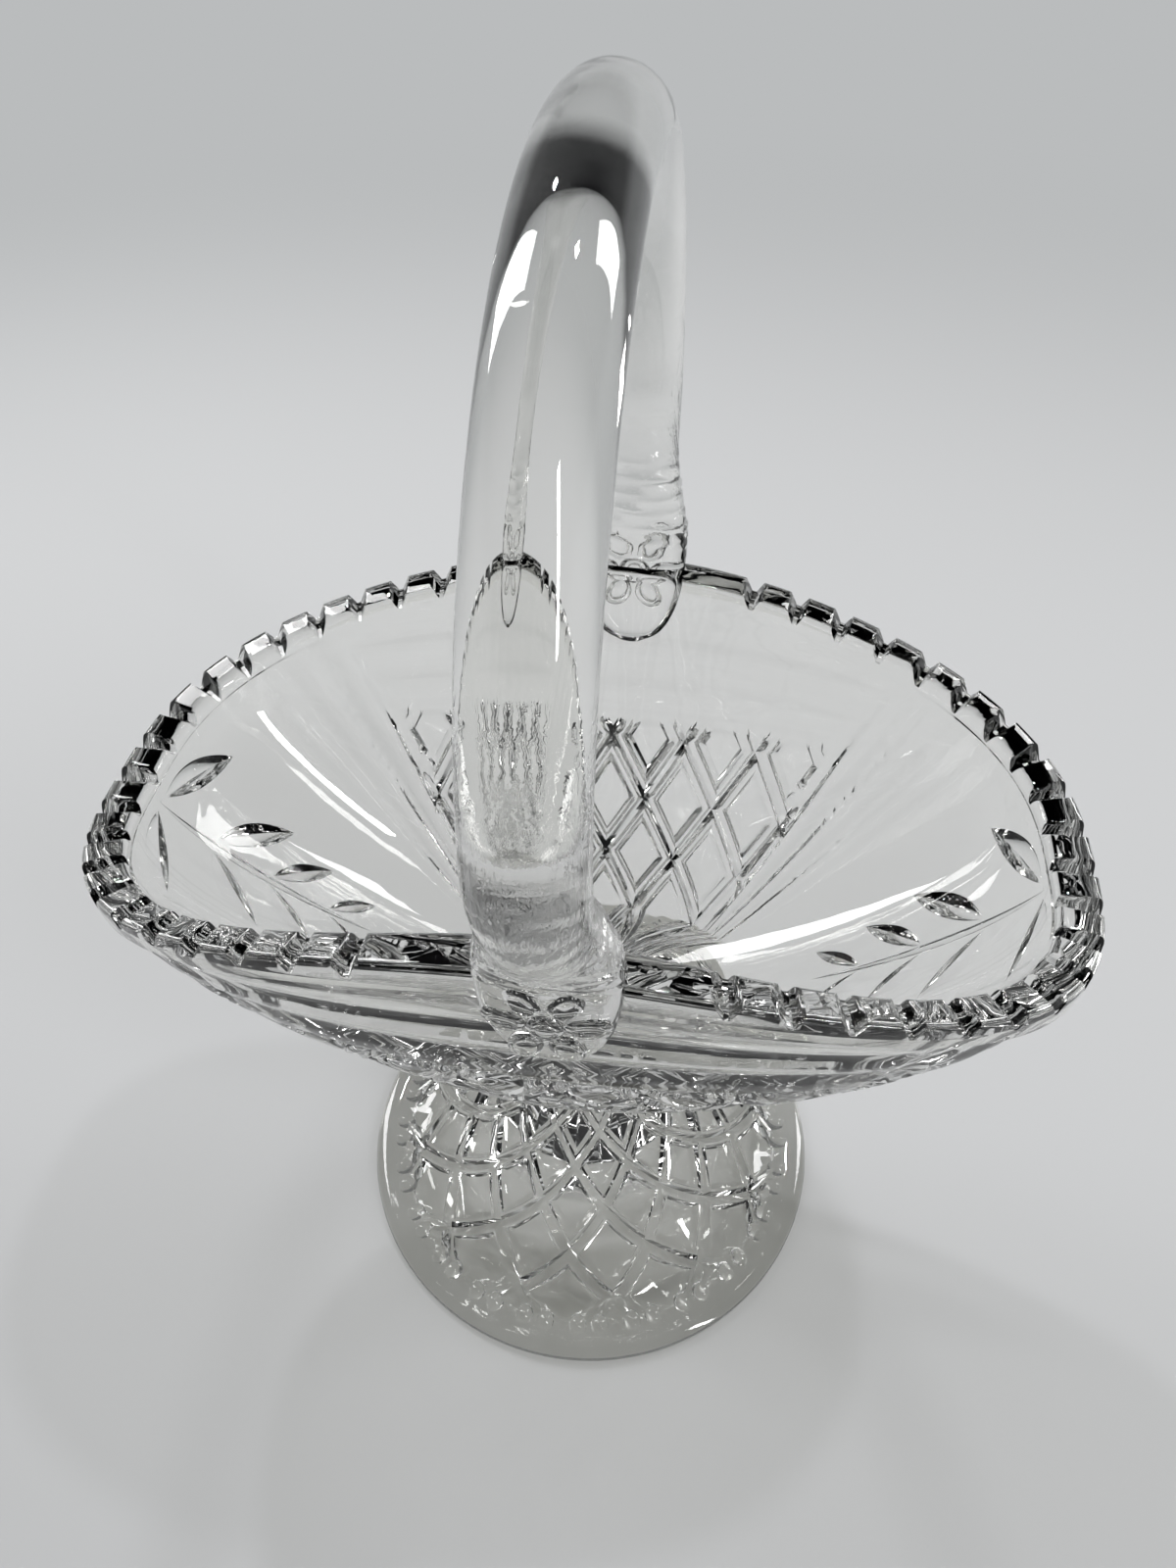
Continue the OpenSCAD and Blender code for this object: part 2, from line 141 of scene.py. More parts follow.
def new_mesh(name: str, points: Array, faces: list | Array) -> bpy.types.Object:
    """Makes an object at the origin from points in millimetres.

    Args:
        name: Name of the object and its mesh.
        points: One row of three numbers for each point.
        faces: Lists of point numbers, counter-clockwise seen from outside.

    Returns:
        The object, linked into the scene.
    """
    mesh = bpy.data.meshes.new(name)
    mesh.from_pydata((np.asarray(points) * MM).tolist(), [], np.asarray(faces).tolist()
                     if isinstance(faces, np.ndarray) else faces)
    mesh.update()
    made = bpy.data.objects.new(name, mesh)
    bpy.context.scene.collection.objects.link(made)
    return made


def baked(made: bpy.types.Object) -> bpy.types.Object:
    """Turns what the modifiers of an object give into its plain mesh."""
    graph = bpy.context.evaluated_depsgraph_get()
    mesh = bpy.data.meshes.new_from_object(made.evaluated_get(graph))
    made.modifiers.clear()
    old = made.data
    made.data = mesh
    bpy.data.meshes.remove(old)
    return made


def combine(body: bpy.types.Object, tool: bpy.types.Object, work: Work) -> None:
    """Fuses a closed piece to the body or cuts it out of the body, and removes the piece.

    Args:
        body: The body that is changed.
        tool: The closed piece.
        work: Whether it is fused on or cut out.
    """
    step = body.modifiers.new(work.name, "BOOLEAN")
    step.operation = work.value
    step.solver = "MANIFOLD"
    step.object = tool
    bpy.context.view_layer.update()
    baked(body)
    mesh = tool.data
    bpy.data.objects.remove(tool)
    bpy.data.meshes.remove(mesh)


@dataclass
class Skin:
    """Closed skin of triangles over rings of points, where rings may differ in their points."""

    points: list[Array] = field(default_factory=list)
    faces: list[Array] = field(default_factory=list)
    shares: Array | None = None
    start: int = 0
    count: int = 0

    def close(self, middle: tuple[float, float, float], last: bool) -> None:
        """Closes the first or the last ring with a fan round a middle point."""
        n = len(self.shares)
        a = self.start + np.arange(n)
        b = self.start + (np.arange(n) + 1) % n
        m = np.full(n, self.count)
        self.points.append(np.array([middle], float))
        self.count += 1
        self.faces.append(np.stack([a, b, m] if last else [b, a, m], 1))

    def add(self, shares: Array, points: Array, rising: Array | None = None) -> None:
        """Adds a ring and joins it to the last one.

        Args:
            shares: For each point, its place round the ring from 0 to 1.
            points: The points in millimetres.
            rising: For each column, True where the square below is split along the rising diagonal.
        """
        start, n = self.count, len(shares)
        self.points.append(points)
        self.count += n
        if self.shares is not None:
            if len(self.shares) == n and np.allclose(self.shares, shares):
                self.faces.append(self._even(start, n, rising))
            else:
                self.faces.append(self._uneven(start, shares))
        self.shares, self.start = shares, start

    def _even(self, start: int, n: int, rising: Array | None) -> Array:
        """Triangles between two rings with the same columns."""
        i = np.arange(n)
        j = (i + 1) % n
        a, b, c, d = self.start + i, self.start + j, start + i, start + j
        up = np.ones(n, bool) if rising is None else rising
        one = np.where(up[:, None], np.stack([a, b, d], 1), np.stack([a, b, c], 1))
        two = np.where(up[:, None], np.stack([a, d, c], 1), np.stack([b, d, c], 1))
        return np.concatenate([one, two])

    def _uneven(self, start: int, shares: Array) -> Array:
        """Triangles between two rings whose columns differ, joined in the order of their places."""
        low, high = self.shares, shares
        made, i, j = [], 0, 0
        while i < len(low) or j < len(high):
            next_low = low[(i + 1) % len(low)] + (i + 1) // len(low) if i < len(low) else math.inf
            next_high = high[(j + 1) % len(high)] + (j + 1) // len(high) if j < len(high) else math.inf
            a, c = self.start + i % len(low), start + j % len(high)
            if next_low <= next_high:
                made.append([a, self.start + (i + 1) % len(low), c])
                i += 1
            else:
                made.append([a, start + (j + 1) % len(high), c])
                j += 1
        return np.array(made)

    def build(self, name: str) -> bpy.types.Object:
        """Makes the object."""
        return new_mesh(name, np.concatenate(self.points), np.concatenate(self.faces))


@dataclass(frozen=True)
class Lattice:
    """Diamonds cut as pointed pits, set off by double ribs with a thin groove between them.

    Places are counted in diamonds: lines of the lattice run where across + up or across - up is whole.

    Attributes:
        depth: Depth of a pit in millimetres.
        steps: Rows and columns of points in one diamond.
        stations: Distances from a line, in diamonds, at which the section of a cut is given.
        drops: Share of the depth at each station, from the thin groove on the line into a pit.
        open_stations: The same distances for a line that has no pit beside it.
        open_drops: Share of the depth at each of them, out to the plain wall.
    """

    depth: float = 2.4
    steps: int = 30
    stations: tuple[float, ...] = (0, 1 / 30, 2 / 30, 0.1, 4 / 30, 5 / 30, 0.2, 7 / 30, 0.5)
    drops: tuple[float, ...] = (0.72, 0.42, 0.12, 0.0, 0.1, 0.38, 0.74, 0.86, 1.0)
    open_stations: tuple[float, ...] = (0, 1 / 30, 2 / 30, 0.1, 4 / 30, 5 / 30, 0.2, 7 / 30, 8 / 30)
    open_drops: tuple[float, ...] = (0.72, 0.42, 0.12, 0.0, 0.1, 0.36, 0.5, 0.3, 0.0)

    def near(self, across: Array, up: Array) -> Array:
        """Distance to the nearest line, from 0 on it to 0.5 in the middle of a diamond."""
        rising, falling = across - up, across + up
        return np.minimum(abs(rising - np.round(rising)), abs(falling - np.round(falling)))

    def drop(self, across: Array, up: Array) -> Array:
        """Depth of the cut as a share of the full depth."""
        return np.interp(self.near(across, up), self.stations, self.drops)

    def open_drop(self, across: Array, up: Array) -> Array:
        """Depth of a line that has no pit beside it."""
        return np.interp(self.near(across, up), self.open_stations, self.open_drops)

    def split(self, across: Array, up: Array) -> Array:
        """True where a square of the grid, by its middle, is split along the rising diagonal."""
        rising, falling = across - up, across + up
        return abs(rising - np.round(rising)) < abs(falling - np.round(falling))


@dataclass(frozen=True)
class Panel:
    """Fan of diamonds on a long side: its rows lie level and its columns at even steps along a level.

    Levels and widths are in diamonds.

    Attributes:
        diamond: Width of a diamond in millimetres.
        rise: Height of the first level above the start of the wall in millimetres.
        growth: Power by which the levels grow farther apart upwards.
        foot_reach: Half width of the fan at its foot.
        fan: How much the half width grows with each level.
        top: Level at which the fine rows end.
        line_top: Level at which the open V ends stop.
        line_start: Level above which the middle of each whole diamond lies.
        highest_pit: Level under which the middle of each whole diamond lies.
        widest_share: Most that the fan takes of a quarter of a level.
        end_groove: Depth, as a share, of the groove across the V ends.
        end_fade: Half width of that groove, and the length over which the lines run out.
        tip_gap: How far the V ends keep from the sides of the fan.
        deep_levels: Levels at which the depth is given.
        deep_shares: Share of the lattice's depth at each of them.
        lattice: Section of the cuts.
    """

    diamond: float = 17.0
    rise: float = 16.5
    growth: float = 1.43
    foot_reach: float = 1.25
    fan: float = 0.8
    top: float = 2.25
    line_top: float = 2.15
    line_start: float = 0.2
    highest_pit: float = 1.8
    widest_share: float = 0.75
    end_groove: float = 0.3
    end_fade: float = 0.06
    tip_gap: float = 0.05
    deep_levels: tuple[float, ...] = (0.1, 0.35, 0.75, 1.25, 2.25)
    deep_shares: tuple[float, ...] = (0.3, 0.7, 1.0, 1.15, 1.1)
    lattice: Lattice = field(default_factory=Lattice)

    def height(self, up: Array | float) -> Array:
        """Height of a level above the foot of the bowl's wall."""
        return self.rise * np.maximum(up, 0.0) ** self.growth

    def reach(self, up: Array | float) -> Array:
        """Half width of the fan in diamonds."""
        return self.foot_reach + self.fan * np.clip(up, 0, self.top)

    def pits(self, across: Array, up: Array) -> Array:
        """True where a place lies in one of the fan's whole diamonds."""
        falling, rising = np.floor(across + up) + 0.5, np.floor(across - up) + 0.5
        x, y = (falling + rising) / 2, (falling - rising) / 2
        return (abs(x) <= self.reach(y)) & (y > self.line_start) & (y < self.highest_pit)

    def depth(self, across: Array, up: Array) -> Array:
        """Depth of the lattice cut in millimetres.

        Lines that bound a whole diamond are cut on that side only, and past the highest row they run on
        to the top of the panel as the open V ends.

        Args:
            across: Diamonds from the middle of the panel.
            up: Level in diamonds.

        Returns:
            The depth at each place.
        """
        tiny, line = 1e-6, self.lattice.open_stations[-1]
        inside, beside = np.zeros(np.shape(across), bool), np.zeros(np.shape(across), bool)
        for turn_x, turn_y in ((1, 1), (1, -1), (-1, 1), (-1, -1)):
            inside |= self.pits(across + turn_x * tiny, up + 0.5 * turn_y * tiny)
            beside |= self.pits(across + turn_x * line / 2, up + turn_y * line / 2)
        within = abs(across) < self.reach(up) - self.tip_gap
        tips = (up > self.highest_pit) & (up < self.line_top) & within
        fade = np.clip((self.line_top - up) / self.end_fade, 0, 1) ** 0.5
        cut = np.where(inside, self.lattice.drop(across, up),
                       np.where(beside | tips, self.lattice.open_drop(across, up) * fade, 0))
        deep = np.interp(up, self.deep_levels, self.deep_shares)
        ends = self.end_groove * np.clip(1 - abs(up - self.line_top) / self.end_fade, 0, 1)
        cut = np.maximum(cut, np.where(within, ends, 0))
        return self.lattice.depth * deep * cut


@dataclass
class Bowl:
    """Boat-shaped bowl from the waist up to the top of its toothed rim.

    Lengths are in millimetres. A place up the wall runs from 0 at the waist to 1 at the rim.

    Attributes:
        half_length: Half length at the rim.
        half_width: Half width at the rim.
        plan_power: Power of the superellipse that the rim follows seen from above.
        rim_end_height: Height of the rim at the ends.
        rim_side_height: Height of the rim at the handle.
        rim_dip: How far the rim hangs below an even swing between them.
        end_fullness: Power of the wall's curve at the ends.
        side_fullness: Power of the wall's curve at the long sides.
        rim_thickness: Thickness of the wall at the rim.
        rim_bevel: Radius of both edges of the rim.
        floor_thickness: Thickness of the bowl's floor.
        waist_radius: Radius where the bowl meets the foot.
        waist_height: Height where the bowl meets the foot.
        base_height: Height from which the wall's curve rises.
        blend_reach: Reach of the round blend between the waist and the wall.
        inner_start: Radius at which the inner wall starts from the floor.
        tooth_count: Pitches of teeth round the whole rim, two for each diamond.
        first_levels: Levels of the rows below the fine ones.
        fine_level: Level at which the fine rows start.
        upper_end: Place up the wall of the last row.
        upper_rows: Rows between the panel and the rim.
        edge_hold: Distance from a bevel of the rings that keep its shading crisp.
        inner_columns: Points in each ring of the inner wall.
        inner_rows: Rings of the inner wall.
        inner_top: Place of its highest ring.
        inner_low: Place of its lowest ring.
        floor_rows: Rings between the inner wall and the middle of the floor.
        floor_top: Place of the highest of them.
        floor_low: Place of the lowest of them.
        even_out: Place up the wall at which the inner columns lie evenly along the rim.
        low_levels: Low levels, over which the outer columns turn into those of the panel.
        low_turns: Share of that turn at each of them, from even angles at 0.
        flute_depth: Depth of the flutes beside a panel.
        flute_pitch: Distance between them in diamonds.
        flute_share: Share of the pitch that a flute takes.
        flutes: Number of flutes on each side of a panel.
        flute_step: Distance between the columns on them in diamonds.
        flute_gap: Plain strip between a panel and its first flute in diamonds.
        flute_lean: How far they move out above the panel in diamonds.
        flute_rise: Length of the flutes above the panel, in levels.
        flute_loss: How much shallower each flute is than the one before it.
        sweeps: Middle and width of each shallow sweep under the rim, as shares of the upper rows.
        sweep_depth: Depth of the sweeps.
        sweep_reach: Share of a quarter of the rim that they run along.
        sweep_fade: Pitches over which they run out.
        plain_pitch: Distance between the columns on the ends.
        panel: The fan of diamonds.
    """

    half_length: float
    half_width: float = 54.0
    plan_power: float = 2.6
    rim_end_height: float = 128.0
    rim_side_height: float = 152.0
    rim_dip: float = 3.2
    end_fullness: float = 1.45
    side_fullness: float = 1.75
    rim_thickness: float = 8.0
    rim_bevel: float = 1.3
    floor_thickness: float = 10.0
    waist_radius: float = 16.5
    waist_height: float = 51.0
    base_height: float = 64.0
    blend_reach: float = 17.0
    inner_start: float = 4.0
    tooth_count: int = 52
    first_levels: tuple[float, ...] = (0.03, 0.07, 0.12, 0.17)
    fine_level: float = 0.2
    upper_end: float = 0.945
    upper_rows: int = 13
    edge_hold: float = 1.6
    inner_columns: int = 192
    inner_rows: int = 30
    inner_top: float = 0.935
    inner_low: float = 0.2
    floor_rows: int = 6
    floor_top: float = 0.17
    floor_low: float = 0.03
    even_out: float = 0.35
    low_levels: tuple[float, ...] = (0, 0.125, 0.25, 0.5)
    low_turns: tuple[float, ...] = (0, 0.12, 0.35, 1)
    flute_depth: float = 1.7
    flute_pitch: float = 0.46
    flute_share: float = 0.86
    flutes: int = 3
    flute_step: float = 0.077
    flute_gap: float = 0.1
    flute_lean: float = 0.12
    flute_rise: float = 1.6
    flute_loss: float = 0.2
    sweeps: tuple[tuple[float, float], ...] = ((0.25, 0.2), (0.62, 0.24))
    sweep_depth: float = 0.9
    sweep_reach: float = 0.72
    sweep_fade: float = 5.0
    plain_pitch: float = 1.9
    panel: Panel = field(default_factory=Panel)

    def __post_init__(self) -> None:
        """Works out the length along the rim, which spaces the teeth and columns evenly."""
        self.angles = np.linspace(0, 360, 1441)
        x, y = self.plan(self.angles)
        self.lengths = np.concatenate([[0], np.cumsum(np.hypot(np.diff(x), np.diff(y)))])
        self.rim_length = self.lengths[-1]
        self.diamond_share = 2 / self.tooth_count

    def reach(self, angle: Array) -> Array:
        """Distance from the axis to the rim's outer edge."""
        t = np.radians(angle)
        return (abs(np.cos(t) / self.half_length) ** self.plan_power
                + abs(np.sin(t) / self.half_width) ** self.plan_power) ** (-1 / self.plan_power)

    def plan(self, angle: Array) -> tuple[Array, Array]:
        """Outer edge of the rim seen from above."""
        t = np.radians(angle)
        return self.reach(angle) * np.cos(t), self.reach(angle) * np.sin(t)

    def rim_angle(self, share: Array) -> Array:
        """Angle seen from above at a share of the way round the rim."""
        return np.interp((share % 1) * self.rim_length, self.lengths, self.angles)

    def rim_height(self, angle: Array) -> Array:
        """Height of the top of the rim."""
        t = np.radians(angle)
        turn = np.arctan2(np.sin(t) / self.half_width, np.cos(t) / self.half_length)
        middle = (self.rim_side_height + self.rim_end_height) / 2
        swing = (self.rim_side_height - self.rim_end_height) / 2
        return middle - swing * np.cos(2 * turn) - self.rim_dip * np.sin(2 * turn) ** 2

    def profile(self, angle: Array, v: Array, start: tuple[float, float], end_r: Array,
                blend: float, drop: float) -> tuple[Array, Array]:
        """Profile of a wall in upright planes.

        Args:
            angle: Angle of each plane seen from above.
            v: Place up the wall, from 0 at its start to 1 at the rim.
            start: Distance from the axis and height at which the wall starts.
            end_r: Distance from the axis at the rim.
            blend: Reach of the round blend at the start.
            drop: How far the blend falls below the start.

        Returns:
            Distance from the axis and height.
        """
        t = np.radians(angle)
        full = self.end_fullness * np.cos(t) ** 2 + self.side_fullness * np.sin(t) ** 2
        quarter = np.radians(90 * v)
        out = (end_r - start[0]) * np.clip(np.sin(quarter), 0, 1) ** (2 / full)
        rise = 1 - np.clip(np.cos(quarter), 0, 1) ** (2 / full)
        near = np.clip(1 - out / blend, 0, 1)
        return start[0] + out, start[1] + (self.rim_height(angle) - start[1]) * rise - drop * near ** 2

    def outer(self, angle: Array, v: Array) -> tuple[Array, Array]:
        """Outer wall: distance from the axis and height."""
        return self.profile(angle, v, (self.waist_radius, self.base_height), self.reach(angle),
                            self.blend_reach, self.base_height - self.waist_height)

    def inner(self, angle: Array, v: Array) -> tuple[Array, Array]:
        """Inner wall: distance from the axis and height."""
        base = self.base_height + self.floor_thickness
        return self.profile(angle, v, (self.inner_start, base),
                            self.reach(angle) - self.rim_thickness, 1.0, 0.0)

    def outward(self, angle: Array, v: Array) -> tuple[Array, Array]:
        """Outward direction of the outer wall in its upright plane."""
        step = 0.004
        r0, z0 = self.outer(angle, np.clip(v - step, 0, 1))
        r1, z1 = self.outer(angle, np.clip(v + step, 0, 1))
        size = np.hypot(r1 - r0, z1 - z0)
        return (z1 - z0) / size, (r0 - r1) / size

    def column_angle(self, share: Array, v: float) -> Array:
        """Columns turn from even angles at the waist to even lengths at the rim."""
        w = smooth(v / self.even_out)
        return (1 - w) * 360 * share + w * self.rim_angle(share)

    def surface(self, angle: Array, v: Array, out: Array | float = 0.0) -> Array:
        """Points of the outer wall, set out from it by a height in millimetres."""
        r, z = self.outer(angle, v)
        nr, nz = self.outward(angle, v)
        r, z = r + out * nr, z + out * nz
        t = np.radians(angle)
        return np.stack([r * np.cos(t), r * np.sin(t), z], 1)

    def level_share(self, angle: Array, up: float) -> Array:
        """Place up the wall of a level of the panel."""
        t = np.radians(angle)
        full = self.end_fullness * np.cos(t) ** 2 + self.side_fullness * np.sin(t) ** 2
        rise = self.panel.height(up) / (self.rim_height(angle) - self.base_height)
        return np.degrees(np.arccos((1 - rise) ** (full / 2))) / 90

    def level_angle(self, share: Array, up: float) -> Array:
        """Angle of the columns on a level, even steps apart in the panel.

        Beyond the panel the other columns share what is left of the level.

        Args:
            share: For each column, its place round the ring from 0 to 1.
            up: The level in diamonds.

        Returns:
            The angle of each column seen from above in degrees.
        """
        turn = np.linspace(0, 90, 181)
        r, _ = self.outer(90 - turn, self.level_share(90 - turn, up))
        x, y = r * np.cos(np.radians(turn)), r * np.sin(np.radians(turn))
        length = np.concatenate([[0], np.cumsum(np.hypot(np.diff(x), np.diff(y)))])
        whole, step = length[-1], self.panel.diamond
        edge = min(float(self.panel.reach(up)), self.panel.widest_share * whole / step)
        across = self.across(share)
        # A quarter of the ring has a quarter of the teeth, and half as many diamonds
        m, last = abs(across), self.tooth_count / 8
        beyond = (m - edge) / (last - edge)
        place = np.where(m < edge, m * step, edge * step + (whole - edge * step) * beyond)
        return 90 * (1 + 2 * np.floor(share * 2)) + np.sign(across) * np.interp(place, length, turn)

    def columns(self) -> Array:
        """Shares round the rim: fine on both panels, wider on their flutes and wider still at the ends."""
        steps = self.panel.lattice.steps
        fine = round((self.panel.reach(self.panel.top) + self.flute_gap) * steps)
        fluted = round(self.flutes * self.flute_pitch / self.flute_step)
        flutes = fine / steps + self.flute_step * np.arange(1, fluted + 2)
        near_side = np.concatenate([-flutes[::-1], np.arange(-fine, fine + 1) / steps, flutes])
        near_side *= self.diamond_share
        gap = 0.5 - 2 * near_side[-1]
        coarse = round(gap * self.rim_length / self.plain_pitch)
        end = near_side[-1] + gap * np.arange(1, coarse) / coarse
        side = np.concatenate([near_side, end])
        return np.sort(np.concatenate([0.25 + side, 0.75 + side]) % 1)

    def rows(self) -> list[tuple[float, float]]:
        """Rows of the outer wall: the level, and the share of the way from the top level to the rim."""
        steps = self.panel.lattice.steps
        first, last = round(self.fine_level * steps), round(self.panel.top * steps)
        made = [(up, 0.0) for up in self.first_levels]
        made += [(k / steps, 0.0) for k in range(first, last + 1)]
        return made + [(self.panel.top, (k + 1) / self.upper_rows) for k in range(self.upper_rows)]

    def across(self, share: Array) -> Array:
        """Diamonds from the middle of the nearer long side."""
        return ((share % 0.5) - 0.25) / self.diamond_share

    def row_place(self, shares: Array, up: float, rise: float) -> tuple[Array, Array]:
        """Angle and place up the wall of the points of one row."""
        turn = float(np.interp(up, self.low_levels, self.low_turns))
        angle = (1 - turn) * 360 * shares + turn * self.level_angle(shares, up)
        angle = (1 - rise) * angle + rise * self.rim_angle(shares)
        return angle, (1 - rise) * self.level_share(angle, up) + rise * self.upper_end

    def cut(self, shares: Array, up: float, rise: float) -> Array:
        """Depth of what is cut into the outer wall: panel lattice, side flutes and rim sweeps.

        Args:
            shares: For each point of the row, its place round the ring from 0 to 1.
            up: Level of the row in diamonds.
            rise: Share of the way from the top of the panel to the rim.

        Returns:
            The depth at each point in millimetres.
        """
        across = self.across(shares)
        depth = self.panel.depth(across, np.full_like(across, up)) if rise == 0 else np.zeros_like(across)
        whole = (up + rise * self.flute_rise) / (self.panel.top + self.flute_rise)
        for k in range(self.flutes):
            start = self.panel.reach(up) + self.flute_gap + self.flute_lean * rise
            middle = start + self.flute_pitch * (k + 0.5)
            off = (abs(across) - middle) / (self.flute_pitch * self.flute_share / 2)
            long = max(0.0, math.sin(math.pi * min(1.0, whole))) ** 0.5 * (1 - self.flute_loss * k)
            depth = np.maximum(depth, self.flute_depth * long * np.clip(1 - off ** 2, 0, 1))
        for middle, width in self.sweeps:
            fade = smooth((self.tooth_count / 4 * self.sweep_reach - abs(across) * 2) / self.sweep_fade)
            off = (rise - middle) / (width / 2)
            depth = np.maximum(depth, self.sweep_depth * fade * max(0.0, 1 - off ** 2))
        return depth

    def add_outer(self, skin: Skin) -> None:
        """Adds the outer wall with its lattice and flutes."""
        shares = self.columns()
        middles = (shares + np.roll(shares, -1) + (np.arange(len(shares)) == len(shares) - 1)) / 2
        last = 0.0
        for up, rise in self.rows():
            angle, v = self.row_place(shares, up, rise)
            points = self.surface(angle, v, -self.cut(shares, up, rise))
            rising = self.panel.lattice.split(self.across(middles), np.full_like(middles, (up + last) / 2))
            skin.add(shares, points, rising)
            last = up

    def add_rim(self, skin: Skin) -> None:
        """Adds the top of the wall: a soft bevel outside, a flat top and a soft bevel inside."""
        shares = self.columns()
        angle = self.rim_angle(shares)
        t = np.radians(angle)
        r, z = self.reach(angle), self.rim_height(angle)
        bevel, thick = self.rim_bevel, self.rim_thickness
        hold = bevel + self.edge_hold
        steps = [(0.15, 6.0), (0.02, hold), (0, bevel)]
        steps += [(bevel * (1 - math.cos(a)), bevel * (1 - math.sin(a))) for a in (0.5, 1.05, math.pi / 2)]
        steps += [(thick / 2, 0)]
        steps += [(thick - bevel * (1 - math.sin(a)), bevel * (1 - math.cos(a))) for a in (0, 0.5, 1.05)]
        steps += [(thick, bevel), (thick + 0.05, hold)]
        for inset, drop in steps:
            skin.add(shares, np.stack([(r - inset) * np.cos(t), (r - inset) * np.sin(t), z - drop], 1))

    def add_inner(self, skin: Skin) -> None:
        """Adds the smooth inner wall down to the floor of the bowl."""
        shares = np.arange(self.inner_columns) / self.inner_columns
        wall = np.linspace(self.inner_top, self.inner_low, self.inner_rows)
        floor = np.linspace(self.floor_top, self.floor_low, self.floor_rows)
        for v in np.concatenate([wall, floor]):
            angle = self.column_angle(shares, v)
            r, z = self.inner(angle, np.full_like(angle, v))
            t = np.radians(angle)
            skin.add(shares, np.stack([r * np.cos(t), r * np.sin(t), z], 1))
        skin.close((0, 0, self.base_height + self.floor_thickness), True)

    def onto_wall(self, flat: Array, angle: float, v: float) -> Array:
        """Lays a flat drawing onto the outer wall.

        Args:
            flat: Rows of millimetres across, up and out from the wall.
            angle: Angle of the drawing's middle seen from above.
            v: Place of its middle up the wall.

        Returns:
            The points in the frame, in millimetres.
        """
        shares = np.linspace(0.01, 0.999, 400)
        r, z = self.outer(np.full_like(shares, angle), shares)
        length = np.concatenate([[0], np.cumsum(np.hypot(np.diff(r), np.diff(z)))])
        places = np.interp(np.interp(v, shares, length) + flat[:, 1], length, shares)
        angles = angle + np.degrees(flat[:, 0] / np.interp(v, shares, r))
        return self.surface(angles, places, flat[:, 2])

    def onto_rim(self, flat: Array) -> Array:
        """Lays a strip onto the top of the rim.

        Args:
            flat: Rows of millimetres along the rim, inwards from its outer edge, and up from its top.

        Returns:
            The points in the frame, in millimetres.
        """
        angle = self.rim_angle(flat[:, 0] / self.rim_length)
        (x0, y0), (x1, y1) = self.plan(angle - 0.1), self.plan(angle + 0.1)
        x, y = self.plan(angle)
        run = np.hypot(x1 - x0, y1 - y0)
        x, y = x - flat[:, 1] * (y1 - y0) / run, y + flat[:, 1] * (x1 - x0) / run
        z = self.rim_height(np.degrees(np.arctan2(y, x))) + flat[:, 2]
        return np.stack([x, y, z], 1)


